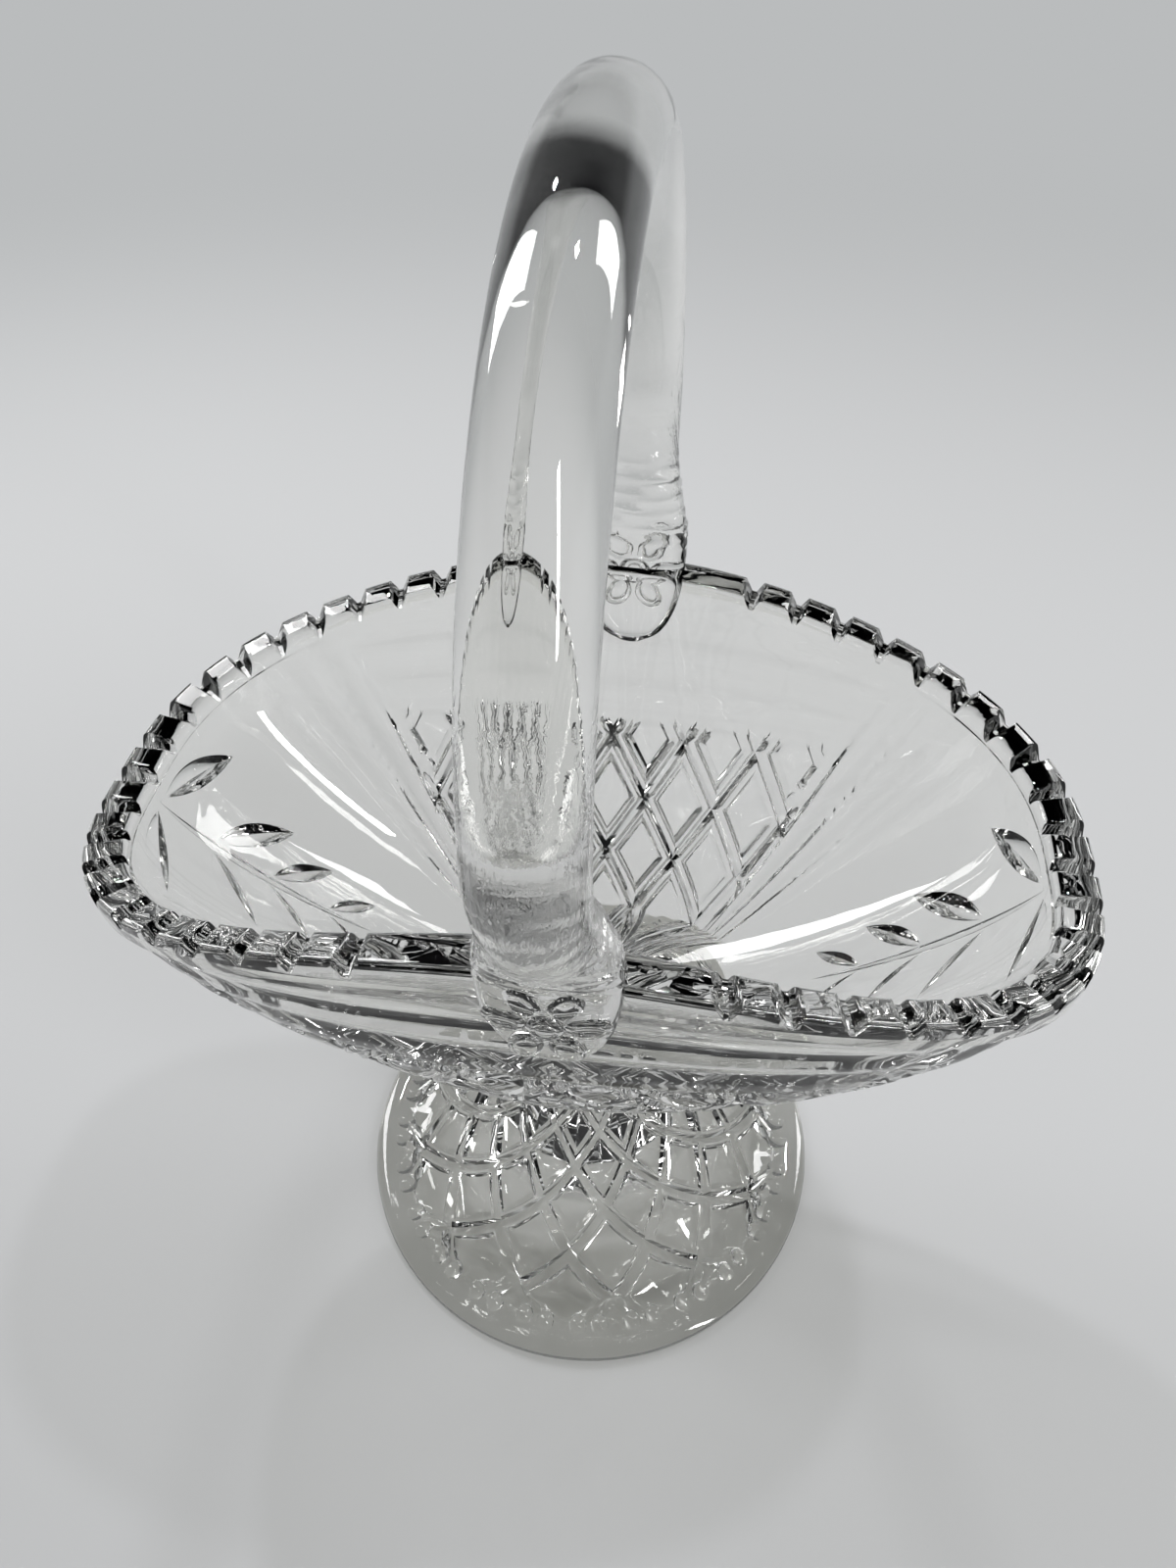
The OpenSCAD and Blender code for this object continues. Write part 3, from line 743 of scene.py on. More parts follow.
@dataclass
class Foot:
    """Round foot that rises in a hollow curve to the waist, cut with rows of diamonds.

    Lengths are in millimetres. Places up from the edge are in diamonds.

    Attributes:
        radius: Outer radius.
        band: Height of the plain edge band.
        hollow: Height of the hollow under the foot.
        ring: Width of the ring that it stands on.
        waist_radius: Radius where the foot meets the bowl.
        waist_height: Height where the foot meets the bowl.
        flare: Power of the hollow curve.
        edge_inset: Distance from the outer edge at which the upper face starts.
        edge_rise: Height above the band at which it starts.
        diamonds: Diamonds in each row.
        rows: Rows of diamonds.
        lowest_pit: Place above which the middle of each whole diamond lies.
        line_end: Place at which the ribs end towards the edge.
        line_fade: Length over which they run out.
        end_groove: Depth, as a share, of the groove in which they end.
        end_place: Place of that groove.
        end_fade: Half width of that groove.
        waist_fade: How fast the cuts grow shallow towards the waist.
        waist_share: Share of their depth that is left there.
        waist_stop: How fast they end at the waist.
        nub_place: Place of the nubs.
        nub_apart: Half the distance between the nubs of a pair, as a share of a diamond.
        nub_radius: Radius of a nub.
        nub_stretch: How much longer than wide a nub is.
        nub_sink: How deep a nub's middle lies under the face, as a share of its radius.
        lattice: Section of the cuts.
    """

    radius: float = 57.5
    band: float = 3.0
    hollow: float = 5.0
    ring: float = 7.0
    waist_radius: float = 16.5
    waist_height: float = 51.0
    flare: float = 2.2
    edge_inset: float = 2.0
    edge_rise: float = 0.6
    diamonds: int = 12
    rows: int = 3
    lowest_pit: float = 0.2
    line_end: float = 0.24
    line_fade: float = 0.06
    end_groove: float = 0.34
    end_place: float = 0.2
    end_fade: float = 0.07
    waist_fade: float = 2.4
    waist_share: float = 0.2
    waist_stop: float = 16.0
    nub_place: float = 0.25
    nub_apart: float = 0.1
    nub_radius: float = 2.1
    nub_stretch: float = 1.2
    nub_sink: float = 0.45
    lattice: Lattice = field(default_factory=lambda: Lattice(
        depth=3.0, steps=24, stations=(0, 1 / 24, 2 / 24, 0.125, 4 / 24, 5 / 24, 0.5),
        drops=(0.85, 0.42, 0.02, 0.05, 0.55, 0.8, 1.0),
        open_stations=(0, 1 / 24, 2 / 24, 0.125, 4 / 24, 5 / 24, 0.25),
        open_drops=(0.8, 0.4, 0.02, 0.05, 0.4, 0.5, 0.0)))

    def top(self, u: Array) -> tuple[Array, Array]:
        """Upper face: distance from the axis and height, from the edge at 0 to the waist at 1."""
        edge = self.radius - self.edge_inset
        low = self.band + self.edge_rise
        r = edge * (self.waist_radius / edge) ** u
        s = (r - self.waist_radius) / (edge - self.waist_radius)
        return r, low + (self.waist_height - low) * np.clip(1 - s, 0, 1) ** self.flare

    def outward(self, u: float) -> tuple[float, float]:
        """Outward direction of the upper face in its upright plane."""
        step = 0.004
        r0, z0 = self.top(max(0.0, u - step))
        r1, z1 = self.top(min(1.0, u + step))
        size = math.hypot(r1 - r0, z1 - z0)
        return (z1 - z0) / size, (r0 - r1) / size

    def under(self) -> list[tuple[float, float]]:
        """Outline of the underside and the edge band, from near the axis out and up.

        Returns:
            Distance from the axis and height of each ring: the arched hollow, the flat ring that the
            foot stands on, its rounded outer edge, and the band with its rounded top.
        """
        edge, inside, tall = self.radius, self.radius - 1 - self.ring, self.hollow
        hollow = [(inside * 0.25, tall), (inside * 0.5, tall * 0.97), (inside * 0.8, tall * 0.8),
                  (inside * 0.95, tall * 0.4)]
        ring = [(inside, 0.15), (inside + 0.4, 0), (edge - 1.1, 0), (edge - 0.6, 0.15), (edge - 0.15, 0.6)]
        band = [(edge, 1.1), (edge, self.band - 1), (edge - 0.2, self.band - 0.4), (edge - 0.8, self.band)]
        return hollow + ring + band

    def add(self, skin: Skin) -> None:
        """Adds the underside, the edge band and the cut upper face."""
        count = self.diamonds * self.lattice.steps
        shares = np.arange(count) / count
        for k, (r, z) in enumerate(self.under()):
            skin.add(shares, self._ring(shares, np.full(count, r), np.full(count, z)))
            if k == 0:
                skin.close((0, 0, self.hollow), False)
        total = self.rows * self.lattice.steps
        across = shares * self.diamonds
        for j in range(total + 1):
            u = j / total
            r, z = self.top(u)
            nr, nz = self.outward(u)
            up = j / self.lattice.steps
            cut = self.lattice.depth * self.fade(u) * self.shape(across, np.full(count, up))
            middle = across + 0.5 / self.lattice.steps
            rising = self.lattice.split(middle, np.full(count, up - 0.5 / self.lattice.steps))
            skin.add(shares, self._ring(shares, r - cut * nr, z - cut * nz), rising if j else None)

    def fade(self, u: float) -> float:
        """Share of the depth that is left towards the waist, where the diamonds grow small."""
        left = min(1.0, (1 - u) * self.waist_fade + self.waist_share)
        return left * float(smooth((1 - u) * self.waist_stop))

    def shape(self, across: Array, up: Array) -> Array:
        """Share of the cut: whole diamonds, open below the first crossings, whose ribs end in nubs.

        Args:
            across: Diamonds round the foot.
            up: Diamonds up from the edge.

        Returns:
            The share of the full depth at each place.
        """
        falling, rising = np.floor(across + up + 1e-6) + 0.5, np.floor(across - up + 1e-6) + 0.5
        whole = (falling - rising) / 2 > self.lowest_pit
        cut = np.where(whole, self.lattice.drop(across, up), self.lattice.open_drop(across, up))
        start = np.clip((up - self.line_end) / self.line_fade + 0.5, 0, 1)
        ends = self.end_groove * np.clip(1 - abs(up - self.end_place) / self.end_fade, 0, 1)
        return np.maximum(cut * start, ends)

    def add_nubs(self, body: bpy.types.Object) -> None:
        """Fuses on the pairs of nubs in which the double ribs end round the edge."""
        u = self.nub_place / self.rows
        r, z = self.top(u)
        cell = math.tau / self.diamonds
        lift = np.array([0, 0, z - self.nub_sink * self.nub_radius])
        for side in (1, -1):
            nub = dome((r, 0), self.nub_radius * self.nub_stretch, self.nub_radius, self.nub_radius, 6, 14)
            nubs = repeat_round("foot_nubs", 2 * self.diamonds, nub)
            turn = np.array(Matrix.Rotation(cell * (0.25 + side * self.nub_apart), 3, "Z"))
            bend_mesh(nubs, lambda p, t=turn: p @ t.T + lift)
            combine(body, nubs, Work.FUSE)

    def _ring(self, shares: Array, r: Array, z: Array) -> Array:
        """Points of one ring."""
        t = 2 * math.pi * shares
        return np.stack([r * np.cos(t), r * np.sin(t), z], 1)


def place_copies(tree: bpy.types.NodeTree, given: bpy.types.Node, spots: bpy.types.NodeSocket,
                 links: dict) -> None:
    """Ends a tree of Geometry Nodes: copies of the shape on the spots, as one painted mesh.

    Args:
        tree: The node tree.
        given: Its input node, which has a Shape and a Material.
        spots: The points that take a copy each.
        links: Rotation and Scale of the copies.
    """
    source = add_node(tree, "GeometryNodeObjectInfo", None, {"Object": given.outputs["Shape"]})
    copies = add_node(tree, "GeometryNodeInstanceOnPoints", None,
                      {"Points": spots, "Instance": source.outputs["Geometry"]} | links)
    real = add_node(tree, "GeometryNodeRealizeInstances", None, {"Geometry": copies.outputs[0]})
    painted = add_node(tree, "GeometryNodeSetMaterial", None,
                       {"Geometry": real.outputs[0], "Material": given.outputs["Material"]})
    add_node(tree, "NodeGroupOutput", None, {0: painted.outputs[0]})


def new_tree(name: str, inputs: dict[str, str]) -> tuple[bpy.types.NodeTree, bpy.types.Node]:
    """Starts a tree of Geometry Nodes.

    Args:
        name: Name of the tree.
        inputs: The kind of socket for the name of each input.

    Returns:
        The tree and its input node.
    """
    tree = bpy.data.node_groups.new(name, "GeometryNodeTree")
    for label, kind in inputs.items():
        tree.interface.new_socket(label, in_out="INPUT", socket_type=kind)
    tree.interface.new_socket("Geometry", in_out="OUTPUT", socket_type="NodeSocketGeometry")
    return tree, add_node(tree, "NodeGroupInput")


def grown(tree: bpy.types.NodeTree, shape: bpy.types.Object, values: dict) -> bpy.types.Object:
    """Runs a tree of Geometry Nodes and keeps what it gives as a plain mesh.

    Args:
        tree: The finished tree, whose name the object takes.
        shape: The shape that it repeats; it is removed.
        values: The value for the name of each other input.

    Returns:
        The new object.
    """
    made = new_mesh(tree.name, np.zeros((1, 3)), [])
    step = made.modifiers.new(tree.name, "NODES")
    step.node_group = tree
    given = values | {"Shape": shape, "Material": Crystal().material()}
    for item in tree.interface.items_tree:
        if item.in_out == "INPUT":
            step[item.identifier] = given[item.name]
    baked(made)
    bpy.data.objects.remove(shape)
    return made


def repeat_round(name: str, count: int, shape: bpy.types.Object) -> bpy.types.Object:
    """Repeats a shape at even turns round the origin, by Geometry Nodes.

    Args:
        name: Name of the new object.
        count: Number of copies.
        shape: The shape, whose place from the origin stays; it is removed.

    Returns:
        The copies as one plain mesh.
    """
    tree, given = new_tree(name, {"Count": "NodeSocketInt", "Shape": "NodeSocketObject",
                                  "Material": "NodeSocketMaterial"})
    points = add_node(tree, "GeometryNodePoints", None, {"Count": given.outputs["Count"]})
    index = add_node(tree, "GeometryNodeInputIndex")
    turn = add_node(tree, "ShaderNodeMath", {"operation": "DIVIDE"},
                    {0: math.tau, 1: given.outputs["Count"]})
    angle = add_node(tree, "ShaderNodeMath", {"operation": "MULTIPLY_ADD"},
                     {0: index.outputs[0], 1: turn.outputs[0], 2: turn.outputs[0]})
    euler = add_node(tree, "ShaderNodeCombineXYZ", None, {"Z": angle.outputs[0]})
    place_copies(tree, given, points.outputs[0], {"Rotation": euler.outputs[0]})
    return grown(tree, shape, {"Count": count})


def repeat_along(name: str, count: int, pitch: float, shape: bpy.types.Object, turn: float = 0.0,
                 shrink: float = 0.0) -> bpy.types.Object:
    """Repeats a shape at an even pitch along X, by Geometry Nodes.

    Args:
        name: Name of the new object.
        count: Number of copies.
        pitch: Distance from one copy to the next in millimetres.
        shape: The shape, whose place from the origin stays; it is removed.
        turn: Turn of each copy about Z in degrees.
        shrink: How much smaller each copy is than the one before, as a share of the first.

    Returns:
        The copies as one plain mesh.
    """
    tree, given = new_tree(name, {"Count": "NodeSocketInt", "Pitch": "NodeSocketFloat",
                                  "Turn": "NodeSocketFloat", "Shrink": "NodeSocketFloat",
                                  "Shape": "NodeSocketObject", "Material": "NodeSocketMaterial"})
    offset = add_node(tree, "ShaderNodeCombineXYZ", None, {"X": given.outputs["Pitch"]})
    line = add_node(tree, "GeometryNodeMeshLine", {"mode": "OFFSET"},
                    {"Count": given.outputs["Count"], "Offset": offset.outputs[0]})
    euler = add_node(tree, "ShaderNodeCombineXYZ", None, {"Z": given.outputs["Turn"]})
    index = add_node(tree, "GeometryNodeInputIndex")
    lost = add_node(tree, "ShaderNodeMath", {"operation": "MULTIPLY"},
                    {0: index.outputs[0], 1: given.outputs["Shrink"]})
    size = add_node(tree, "ShaderNodeMath", {"operation": "SUBTRACT"}, {0: 1.0, 1: lost.outputs[0]})
    place_copies(tree, given, line.outputs[0], {"Rotation": euler.outputs[0], "Scale": size.outputs[0]})
    return grown(tree, shape, {"Count": count, "Pitch": pitch * MM, "Turn": math.radians(turn),
                               "Shrink": float(shrink)})


def dome(middle: tuple[float, float], long: float, wide: float, high: float, rows: int = 9,
         cols: int = 20) -> bpy.types.Object:
    """A low oval dome, round below as above.

    Args:
        middle: Place of its middle in the flat in millimetres.
        long: Half length along X.
        wide: Half width along Y.
        high: Height above and below the flat.
        rows: Steps from top to bottom.
        cols: Points in each ring.

    Returns:
        The dome as one closed mesh.
    """
    points, faces = [(middle[0], middle[1], high)], []
    for j in range(1, rows):
        b = math.pi * j / rows
        for k in range(cols):
            t = math.tau * k / cols
            points.append((middle[0] + long * math.sin(b) * math.cos(t),
                           middle[1] + wide * math.sin(b) * math.sin(t), high * math.cos(b)))
    points.append((middle[0], middle[1], -high))
    end = 1 + (rows - 2) * cols
    for k in range(cols):
        m = (k + 1) % cols
        faces.append([0, 1 + k, 1 + m])
        faces += [[1 + j * cols + k, 1 + (j + 1) * cols + k, 1 + (j + 1) * cols + m, 1 + j * cols + m]
                  for j in range(rows - 2)]
        faces.append([end + k, len(points) - 1, end + m])
    return new_mesh("dome", np.array(points), faces)


def bend_mesh(made: bpy.types.Object, place: Callable[[Array], Array]) -> None:
    """Moves every point of a mesh by a rule.

    Args:
        made: The object.
        place: Takes rows of points and returns rows of points, all in millimetres.
    """
    count = len(made.data.vertices)
    flat = np.zeros(count * 3)
    made.data.vertices.foreach_get("co", flat)
    moved = place(flat.reshape(-1, 3) / MM)
    made.data.vertices.foreach_set("co", (moved * MM).ravel())
    made.data.update()


def tube(rings: int, sides: int) -> list[list[int]]:
    """Faces between rings of points that follow each other, open at both ends.

    Args:
        rings: Number of rings.
        sides: Points in each ring, which run the way round that makes the faces look outwards.

    Returns:
        The faces as lists of point numbers.
    """
    faces = []
    for k in range(rings - 1):
        for j in range(sides):
            a, b = k * sides + j, k * sides + (j + 1) % sides
            faces.append([a, a + sides, b + sides, b])
    return faces


def closed_tube(rings: int, sides: int) -> list[list[int]]:
    """Faces of a tube with a flat cap on both ends, for the same rings as in tube."""
    last = (rings - 1) * sides
    return tube(rings, sides) + [list(range(sides)), list(range(last, last + sides))[::-1]]


@dataclass
class RimTeeth:
    """Grooves ground across the top of the rim, which leave the row of flat-topped teeth.

    Lengths are in millimetres.

    Attributes:
        bowl: The bowl whose rim is ground.
        depth: Depth of a groove.
        width: Its width at the top.
        floor_width: Width of its flat bottom.
        outer_extra: How much deeper it runs at the rim's outer edge.
        outer_reach: How far inwards that extra depth reaches.
        overrun: How far the cutter stands out past both edges of the rim.
        flank: How far it stands out above the rim and beside the groove.
        plain: Half length of the plain rim at the handle.
    """

    bowl: Bowl
    depth: float = 2.4
    width: float = 3.9
    floor_width: float = 0.9
    outer_extra: float = 1.0
    outer_reach: float = 4.0
    overrun: float = 1.5
    flank: float = 1.6
    plain: float = 21.0

    def cutter(self) -> bpy.types.Object:
        """One groove as a bar that lies across the rim, along Y, with rounded shoulders."""
        half, low, deep = self.width / 2, self.floor_width / 2, self.depth
        shoulder = [(half * 0.82, -0.12 * deep), (half * 0.6, -0.42 * deep)]
        side = [(half + self.flank, self.flank), (half + 0.25, 0.1)] + shoulder + [(low, -deep)]
        section = [(-x, z) for x, z in side] + side[::-1]
        stations = np.linspace(-self.overrun, self.bowl.rim_thickness + self.overrun, 7)
        points = []
        for y in stations:
            extra = self.outer_extra * float(smooth(1 - y / self.outer_reach))
            points += [(x, y, z - (extra if z < 0 else 0)) for x, z in section]
        return new_mesh("groove", np.array(points), closed_tube(len(stations), len(section)))

    def cut(self, body: bpy.types.Object) -> None:
        """Cuts the grooves between the teeth, and leaves the rim plain beside the handle."""
        bowl = self.bowl
        pitch = bowl.rim_length / bowl.tooth_count
        quarter = bowl.rim_length / 4
        run = quarter - self.plain
        for centre in (0.0, 2 * quarter):
            each = int(run // pitch)
            grooves = repeat_along("rim_grooves", 2 * each + 1, pitch, self.cutter())
            start = centre - each * pitch
            bend_mesh(grooves, lambda p, s=start: bowl.onto_rim(p + np.array([s, 0, 0])))
            combine(body, grooves, Work.CUT)


@dataclass
class Fern:
    """Fern of leaf cuts on an end wall: pairs hang from both sides of a stem, shorter downwards.

    Lengths are in millimetres.

    Attributes:
        bowl: The bowl that is cut.
        top: Place up the wall of the highest pair.
        low: Place up the wall of the lowest pair.
        pairs: Pairs of leaves.
        lean: Turn of the lower leaves from square to the stem in degrees.
        top_lean: The same turn of the highest pair.
        gap: Distance from the stem to the root of a leaf.
        length: Length of the highest leaves.
        width: Their width.
        depth: Their depth.
        shrink: How much smaller each pair is than the one above it, as a share of the second.
        roundness: Power of a leaf's outline, where less is blunter.
        proud: How far the cutter of a leaf stands out above the wall.
        stem_width: Width of the stem.
        stem_depth: Depth of the stem.
        stem_reach: Length of the stem as a share of the way from the first to the last pair.
        stations: Sections of a leaf.
    """

    bowl: Bowl
    top: float = 0.84
    low: float = 0.465
    pairs: int = 4
    lean: float = 40.0
    top_lean: float = 20.0
    gap: float = 2.2
    length: float = 22.0
    width: float = 6.0
    depth: float = 2.3
    shrink: float = 0.16
    roundness: float = 0.8
    proud: float = 0.7
    stem_width: float = 2.4
    stem_depth: float = 1.08
    stem_reach: float = 1.28
    stations: int = 16

    def leaf(self, start: float, length: float, width: float, depth: float) -> bpy.types.Object:
        """One leaf cut along X: a lens from above with a V-shaped bottom, deepest in the middle.

        Args:
            start: Where its first tip lies along X.
            length: Length from tip to tip.
            width: Width in the middle.
            depth: Depth in the middle.

        Returns:
            The cutter, which stands proud of the wall a little.
        """
        points = []
        for k in range(1, self.stations + 1):
            share = k / (self.stations + 1)
            bulge = math.sin(math.pi * share) ** self.roundness
            x, half = start + length * share, width / 2 * bulge
            high, shoulder, deep = self.proud * bulge, -0.2 * depth * bulge, -depth * bulge
            points += [(x, half * 1.25, high), (x, half * 0.93, shoulder), (x, 0, deep),
                       (x, -half * 0.93, shoulder), (x, -half * 1.25, high)]
        n, tip = 5, len(points)
        faces = tube(self.stations, n)
        points += [(start, 0, 0.02), (start + length, 0, 0.02)]
        for j in range(n):
            faces.append([tip, j, (j + 1) % n])
            faces.append([tip + 1, tip - n + (j + 1) % n, tip - n + j])
        return new_mesh("leaf", np.array(points), faces)

    def run(self, end: End) -> float:
        """Length of the wall in millimetres between the first and the last pair."""
        shares = np.linspace(self.low, self.top, 60)
        r, z = self.bowl.outer(np.full_like(shares, end.value), shares)
        return float(np.hypot(np.diff(r), np.diff(z)).sum())

    def cut(self, body: bpy.types.Object) -> None:
        """Cuts the fern at both ends."""
        for end in End:
            def hang(flat: Array, angle: float = end.value) -> Array:
                """Hangs a drawing, whose stem runs along X, from the top of the stem."""
                drawn = np.stack([flat[:, 1], -flat[:, 0], flat[:, 2]], 1)
                return self.bowl.onto_wall(drawn, angle, self.top)

            pitch = self.run(end) / (self.pairs - 1)
            for side in (1, -1):
                leaf = self.leaf(self.gap, self.length, self.width, self.depth)
                high = repeat_along("top_leaf", 1, 0.0, leaf, side * (90 - self.top_lean))
                bend_mesh(high, hang)
                combine(body, high, Work.CUT)
                leaf = self.leaf(self.gap, self.length, self.width, self.depth)
                low = repeat_along("low_leaves", self.pairs - 1, pitch, leaf, side * (90 - self.lean),
                                   self.shrink)
                bend_mesh(low, lambda p, s=pitch: hang(p + np.array([s, 0, 0])))
                combine(body, low, Work.CUT)
            long = pitch * (self.pairs - 1) * self.stem_reach
            stem = self.leaf(0.0, long, self.stem_width, self.stem_depth)
            bend_mesh(stem, hang)
            combine(body, stem, Work.CUT)


@dataclass(frozen=True)
class RodSection:
    """One section of the rod, in millimetres.

    Attributes:
        out: Distance of its middle from the arch's axis.
        z: Height of its middle.
        thick: Half thickness, square to the way that the rod runs.
        wide: Half width along X.
        flat: Flatness of its faces, from 0 on the round rod to 1 on the pads.
    """

    out: float
    z: float
    thick: float
    wide: float
    flat: float = 0.0


@dataclass
class Handle:
    """Round glass rod in a horseshoe arch, whose legs widen into tongue-shaped pads on the wall.

    Lengths are in millimetres. A rise is a height above the rim at the handle, and a drop one below.

    Attributes:
        top: Height of the top of the arch.
        bowl: The bowl that carries the handle.
        rod_radius: Radius of the rod.
        arch_radius: Radius of the rod's middle line in the arch.
        leg_bend: Radius of the middle line in the legs, which draw in towards the pads.
        shift: How far the handle stands off the middle of the bowl.
        lean_rise: Rise at which the legs start to lean onto the pads.
        press_rise: Rise at which the rod starts to widen.
        wide_rise: Rise of the widest place of a pad.
        pad_width: Width of a pad there.
        pad_thickness: Thickness of a pad there.
        pad_drop: Drop of a pad's lower tip.
        pad_sink: How deep a pad is pressed into the wall.
        tip_lean: How far a pad's tip bends in with the wall.
        tip_thickness: Share of a pad's thickness that is left at its tip.
        tip_round: Power of the tip's outline, where less is blunter.
        tip_turn: Turn in degrees at which the outline is closed by a small flat face.
        flatness: How flat the faces of a pad are.
        flower_drop: Drop of the flower's middle.
        flower_sink: How deep the flower's ground lies in the face of the pad.
        flower_curve: How fast that ground falls away to both sides, as the pad does.
        petals: Petals of the flower.
        petal_place: Distance from the flower's middle to the middle of a petal.
        petal: Half length, half width and height of a petal.
        petal_hollow: The same of the hollow that is taken out of it.
        hollow_rise: Height of the hollow's middle.
        button_domes: Radius, height and place of each dome of the button, and what it does.
        crinkle: Height of the crinkle above the pads.
        crinkle_reach: How far it reaches above their widest place.
        sides: Points in each section.
        arch_steps: Sections of half the arch.
        leg_steps: Sections of a leg.
        tip_steps: Sections of a pad below its widest place.
    """

    top: float
    bowl: Bowl
    rod_radius: float = 7.75
    arch_radius: float = 63.5
    leg_bend: float = 120.0
    shift: float = 3.0
    lean_rise: float = 36.0
    press_rise: float = 24.0
    wide_rise: float = 3.0
    pad_width: float = 22.0
    pad_thickness: float = 10.0
    pad_drop: float = 19.0
    pad_sink: float = 5.0
    tip_lean: float = 2.5
    tip_thickness: float = 0.55
    tip_round: float = 0.7
    tip_turn: float = 89.4
    flatness: float = 0.45
    flower_drop: float = 4.5
    flower_sink: float = 0.35
    flower_curve: float = 0.012
    petals: int = 6
    petal_place: float = 6.3
    petal: tuple[float, float, float] = (3.5, 2.6, 1.1)
    petal_hollow: tuple[float, float, float] = (2.6, 1.75, 0.95)
    hollow_rise: float = 1.0
    button_domes: tuple[tuple[float, float, float, Work], ...] = (
        (3.1, 1.5, 0.0, Work.FUSE), (2.3, 0.9, 1.5, Work.CUT), (1.5, 0.6, 0.75, Work.FUSE))
    crinkle: float = 0.2
    crinkle_reach: float = 21.0
    sides: int = 40
    arch_steps: int = 36
    leg_steps: int = 40
    tip_steps: int = 20

    def __post_init__(self) -> None:
        """Works out where the arch and the pads lie."""
        rim = self.bowl.rim_side_height
        self.arch_z = self.top - self.rod_radius - self.arch_radius
        self.wide_z = rim + self.wide_rise
        self.low_z = rim - self.pad_drop
        self.flower_z = rim - self.flower_drop
        self.pad_y = self.bowl.half_width + self.pad_thickness / 2 - self.pad_sink
        self.turn = math.asin((self.arch_z - self.wide_z) / self.leg_bend)

    def share_down(self, z: float, rise: float) -> float:
        """Share of the way from a height above the rim down to the widest place of the pad."""
        start = self.bowl.rim_side_height + rise
        return float(smooth((start - z) / (start - self.wide_z)))

    def half_path(self) -> list[RodSection]:
        """Sections from the top of the arch down one leg to the lower tip of its pad."""
        made = []
        for k in range(self.arch_steps):
            a = math.pi / 2 * (1 - k / self.arch_steps)
            z = self.arch_z + self.arch_radius * math.sin(a)
            w = self.share_down(z, self.lean_rise)
            out = (1 - w) * self.arch_radius * math.cos(a) + w * self.pad_y
            made.append(RodSection(out, z, self.rod_radius, self.rod_radius))
        for k in range(self.leg_steps + 1):
            a = self.turn * k / self.leg_steps
            z = self.arch_z - self.leg_bend * math.sin(a)
            lean, w = self.share_down(z, self.lean_rise), self.share_down(z, self.press_rise)
            out = self.arch_radius - self.leg_bend * (1 - math.cos(a))
            thick = (1 - w) * self.rod_radius + w * self.pad_thickness / 2
            wide = (1 - w) * self.rod_radius + w * self.pad_width / 2
            made.append(RodSection((1 - lean) * out + lean * self.pad_y, z, thick, wide, w))
        for k in range(1, self.tip_steps + 1):
            b = math.radians(self.tip_turn) * k / self.tip_steps
            thin = 1 - (1 - self.tip_thickness) * (1 - math.cos(b))
            thick = self.pad_thickness / 2 * thin * min(1.0, 3 * math.cos(b)) ** 0.5
            wide = self.pad_width / 2 * math.cos(b) ** self.tip_round
            made.append(RodSection(self.pad_y - self.tip_lean * (1 - math.cos(b)),
                                   self.wide_z - (self.wide_z - self.low_z) * math.sin(b),
                                   thick, wide, 1.0))
        return made

    def tilts(self, half: list[RodSection]) -> list[float]:
        """Turn of each section, square to the way the middle line runs there."""
        made = [math.pi / 2]
        for k in range(1, len(half)):
            high, low = half[k - 1], half[min(k + 1, len(half) - 1)]
            made.append(math.atan2(low.out - high.out, high.z - low.z))
        return made

    def ripple(self, z: float, t: float) -> float:
        """Crinkle left above the pad where the hot rod was sheared and pressed, in millimetres.

        Args:
            z: Height of the place.
            t: Its turn round the rod in radians.

        Returns:
            How far it stands out.
        """
        above = z - self.wide_z
        band = float(smooth((above + 3) / 5) * smooth((self.crinkle_reach - above) / 8))
        # Waves whose lengths have no common measure, so that no fold comes twice
        fold = math.sin(2.3 * z + 2.2 * math.sin(2 * t + 0.7))
        fold += 0.7 * math.sin(3.7 * z + 3 * math.sin(3 * t))
        return self.crinkle * band * fold * (0.6 + 0.4 * math.sin(5 * t + 0.8 * z))

    def rod(self) -> bpy.types.Object:
        """The rod with both pads, swept along its middle line."""
        half = self.half_path()
        lies = self.tilts(half)
        path = [(s, a, 1) for s, a in reversed(list(zip(half, lies)))]
        path += [(s, a, -1) for s, a in list(zip(half, lies))[1:]]
        points, n = [], self.sides
        for section, lie, side in path:
            for k in range(n):
                t = math.tau * k / n
                c = math.cos(t)
                extra = self.ripple(section.z, t + side)
                square = 1 - self.flatness * section.flat
                off = math.copysign((section.thick + extra) * abs(c) ** square, c)
                points.append(((section.wide + extra) * math.sin(t) + self.shift,
                               side * (section.out + off * math.cos(lie)), section.z + off * math.sin(lie)))
        return new_mesh("rod", np.array(points), closed_tube(len(path), n))

    def flower(self, body: bpy.types.Object, side: Side) -> None:
        """Presses the flower onto one pad: a centre button in a ring of hollow petals."""
        face = self.pad_y + self.pad_thickness / 2 - self.flower_sink

        def place(flat: Array) -> Array:
            """Stands the flower up on the pad's face."""
            sink = self.flower_curve * flat[:, 0] ** 2
            y = side.value * (face + flat[:, 2] - sink)
            return np.stack([self.shift - side.value * flat[:, 0], y, self.flower_z + flat[:, 1]], 1)

        for size, rise, work in ((self.petal, 0.0, Work.FUSE),
                                 (self.petal_hollow, self.hollow_rise, Work.CUT)):
            ring = repeat_round("petals", self.petals, dome((self.petal_place, 0), *size))
            bend_mesh(ring, lambda p, h=rise: place(p + np.array([0, 0, h])))
            combine(body, ring, work)
        for radius, high, rise, work in self.button_domes:
            button = dome((0, 0), radius, radius, high)
            bend_mesh(button, lambda p, h=rise: place(p + np.array([0, 0, h])))
            combine(body, button, work)

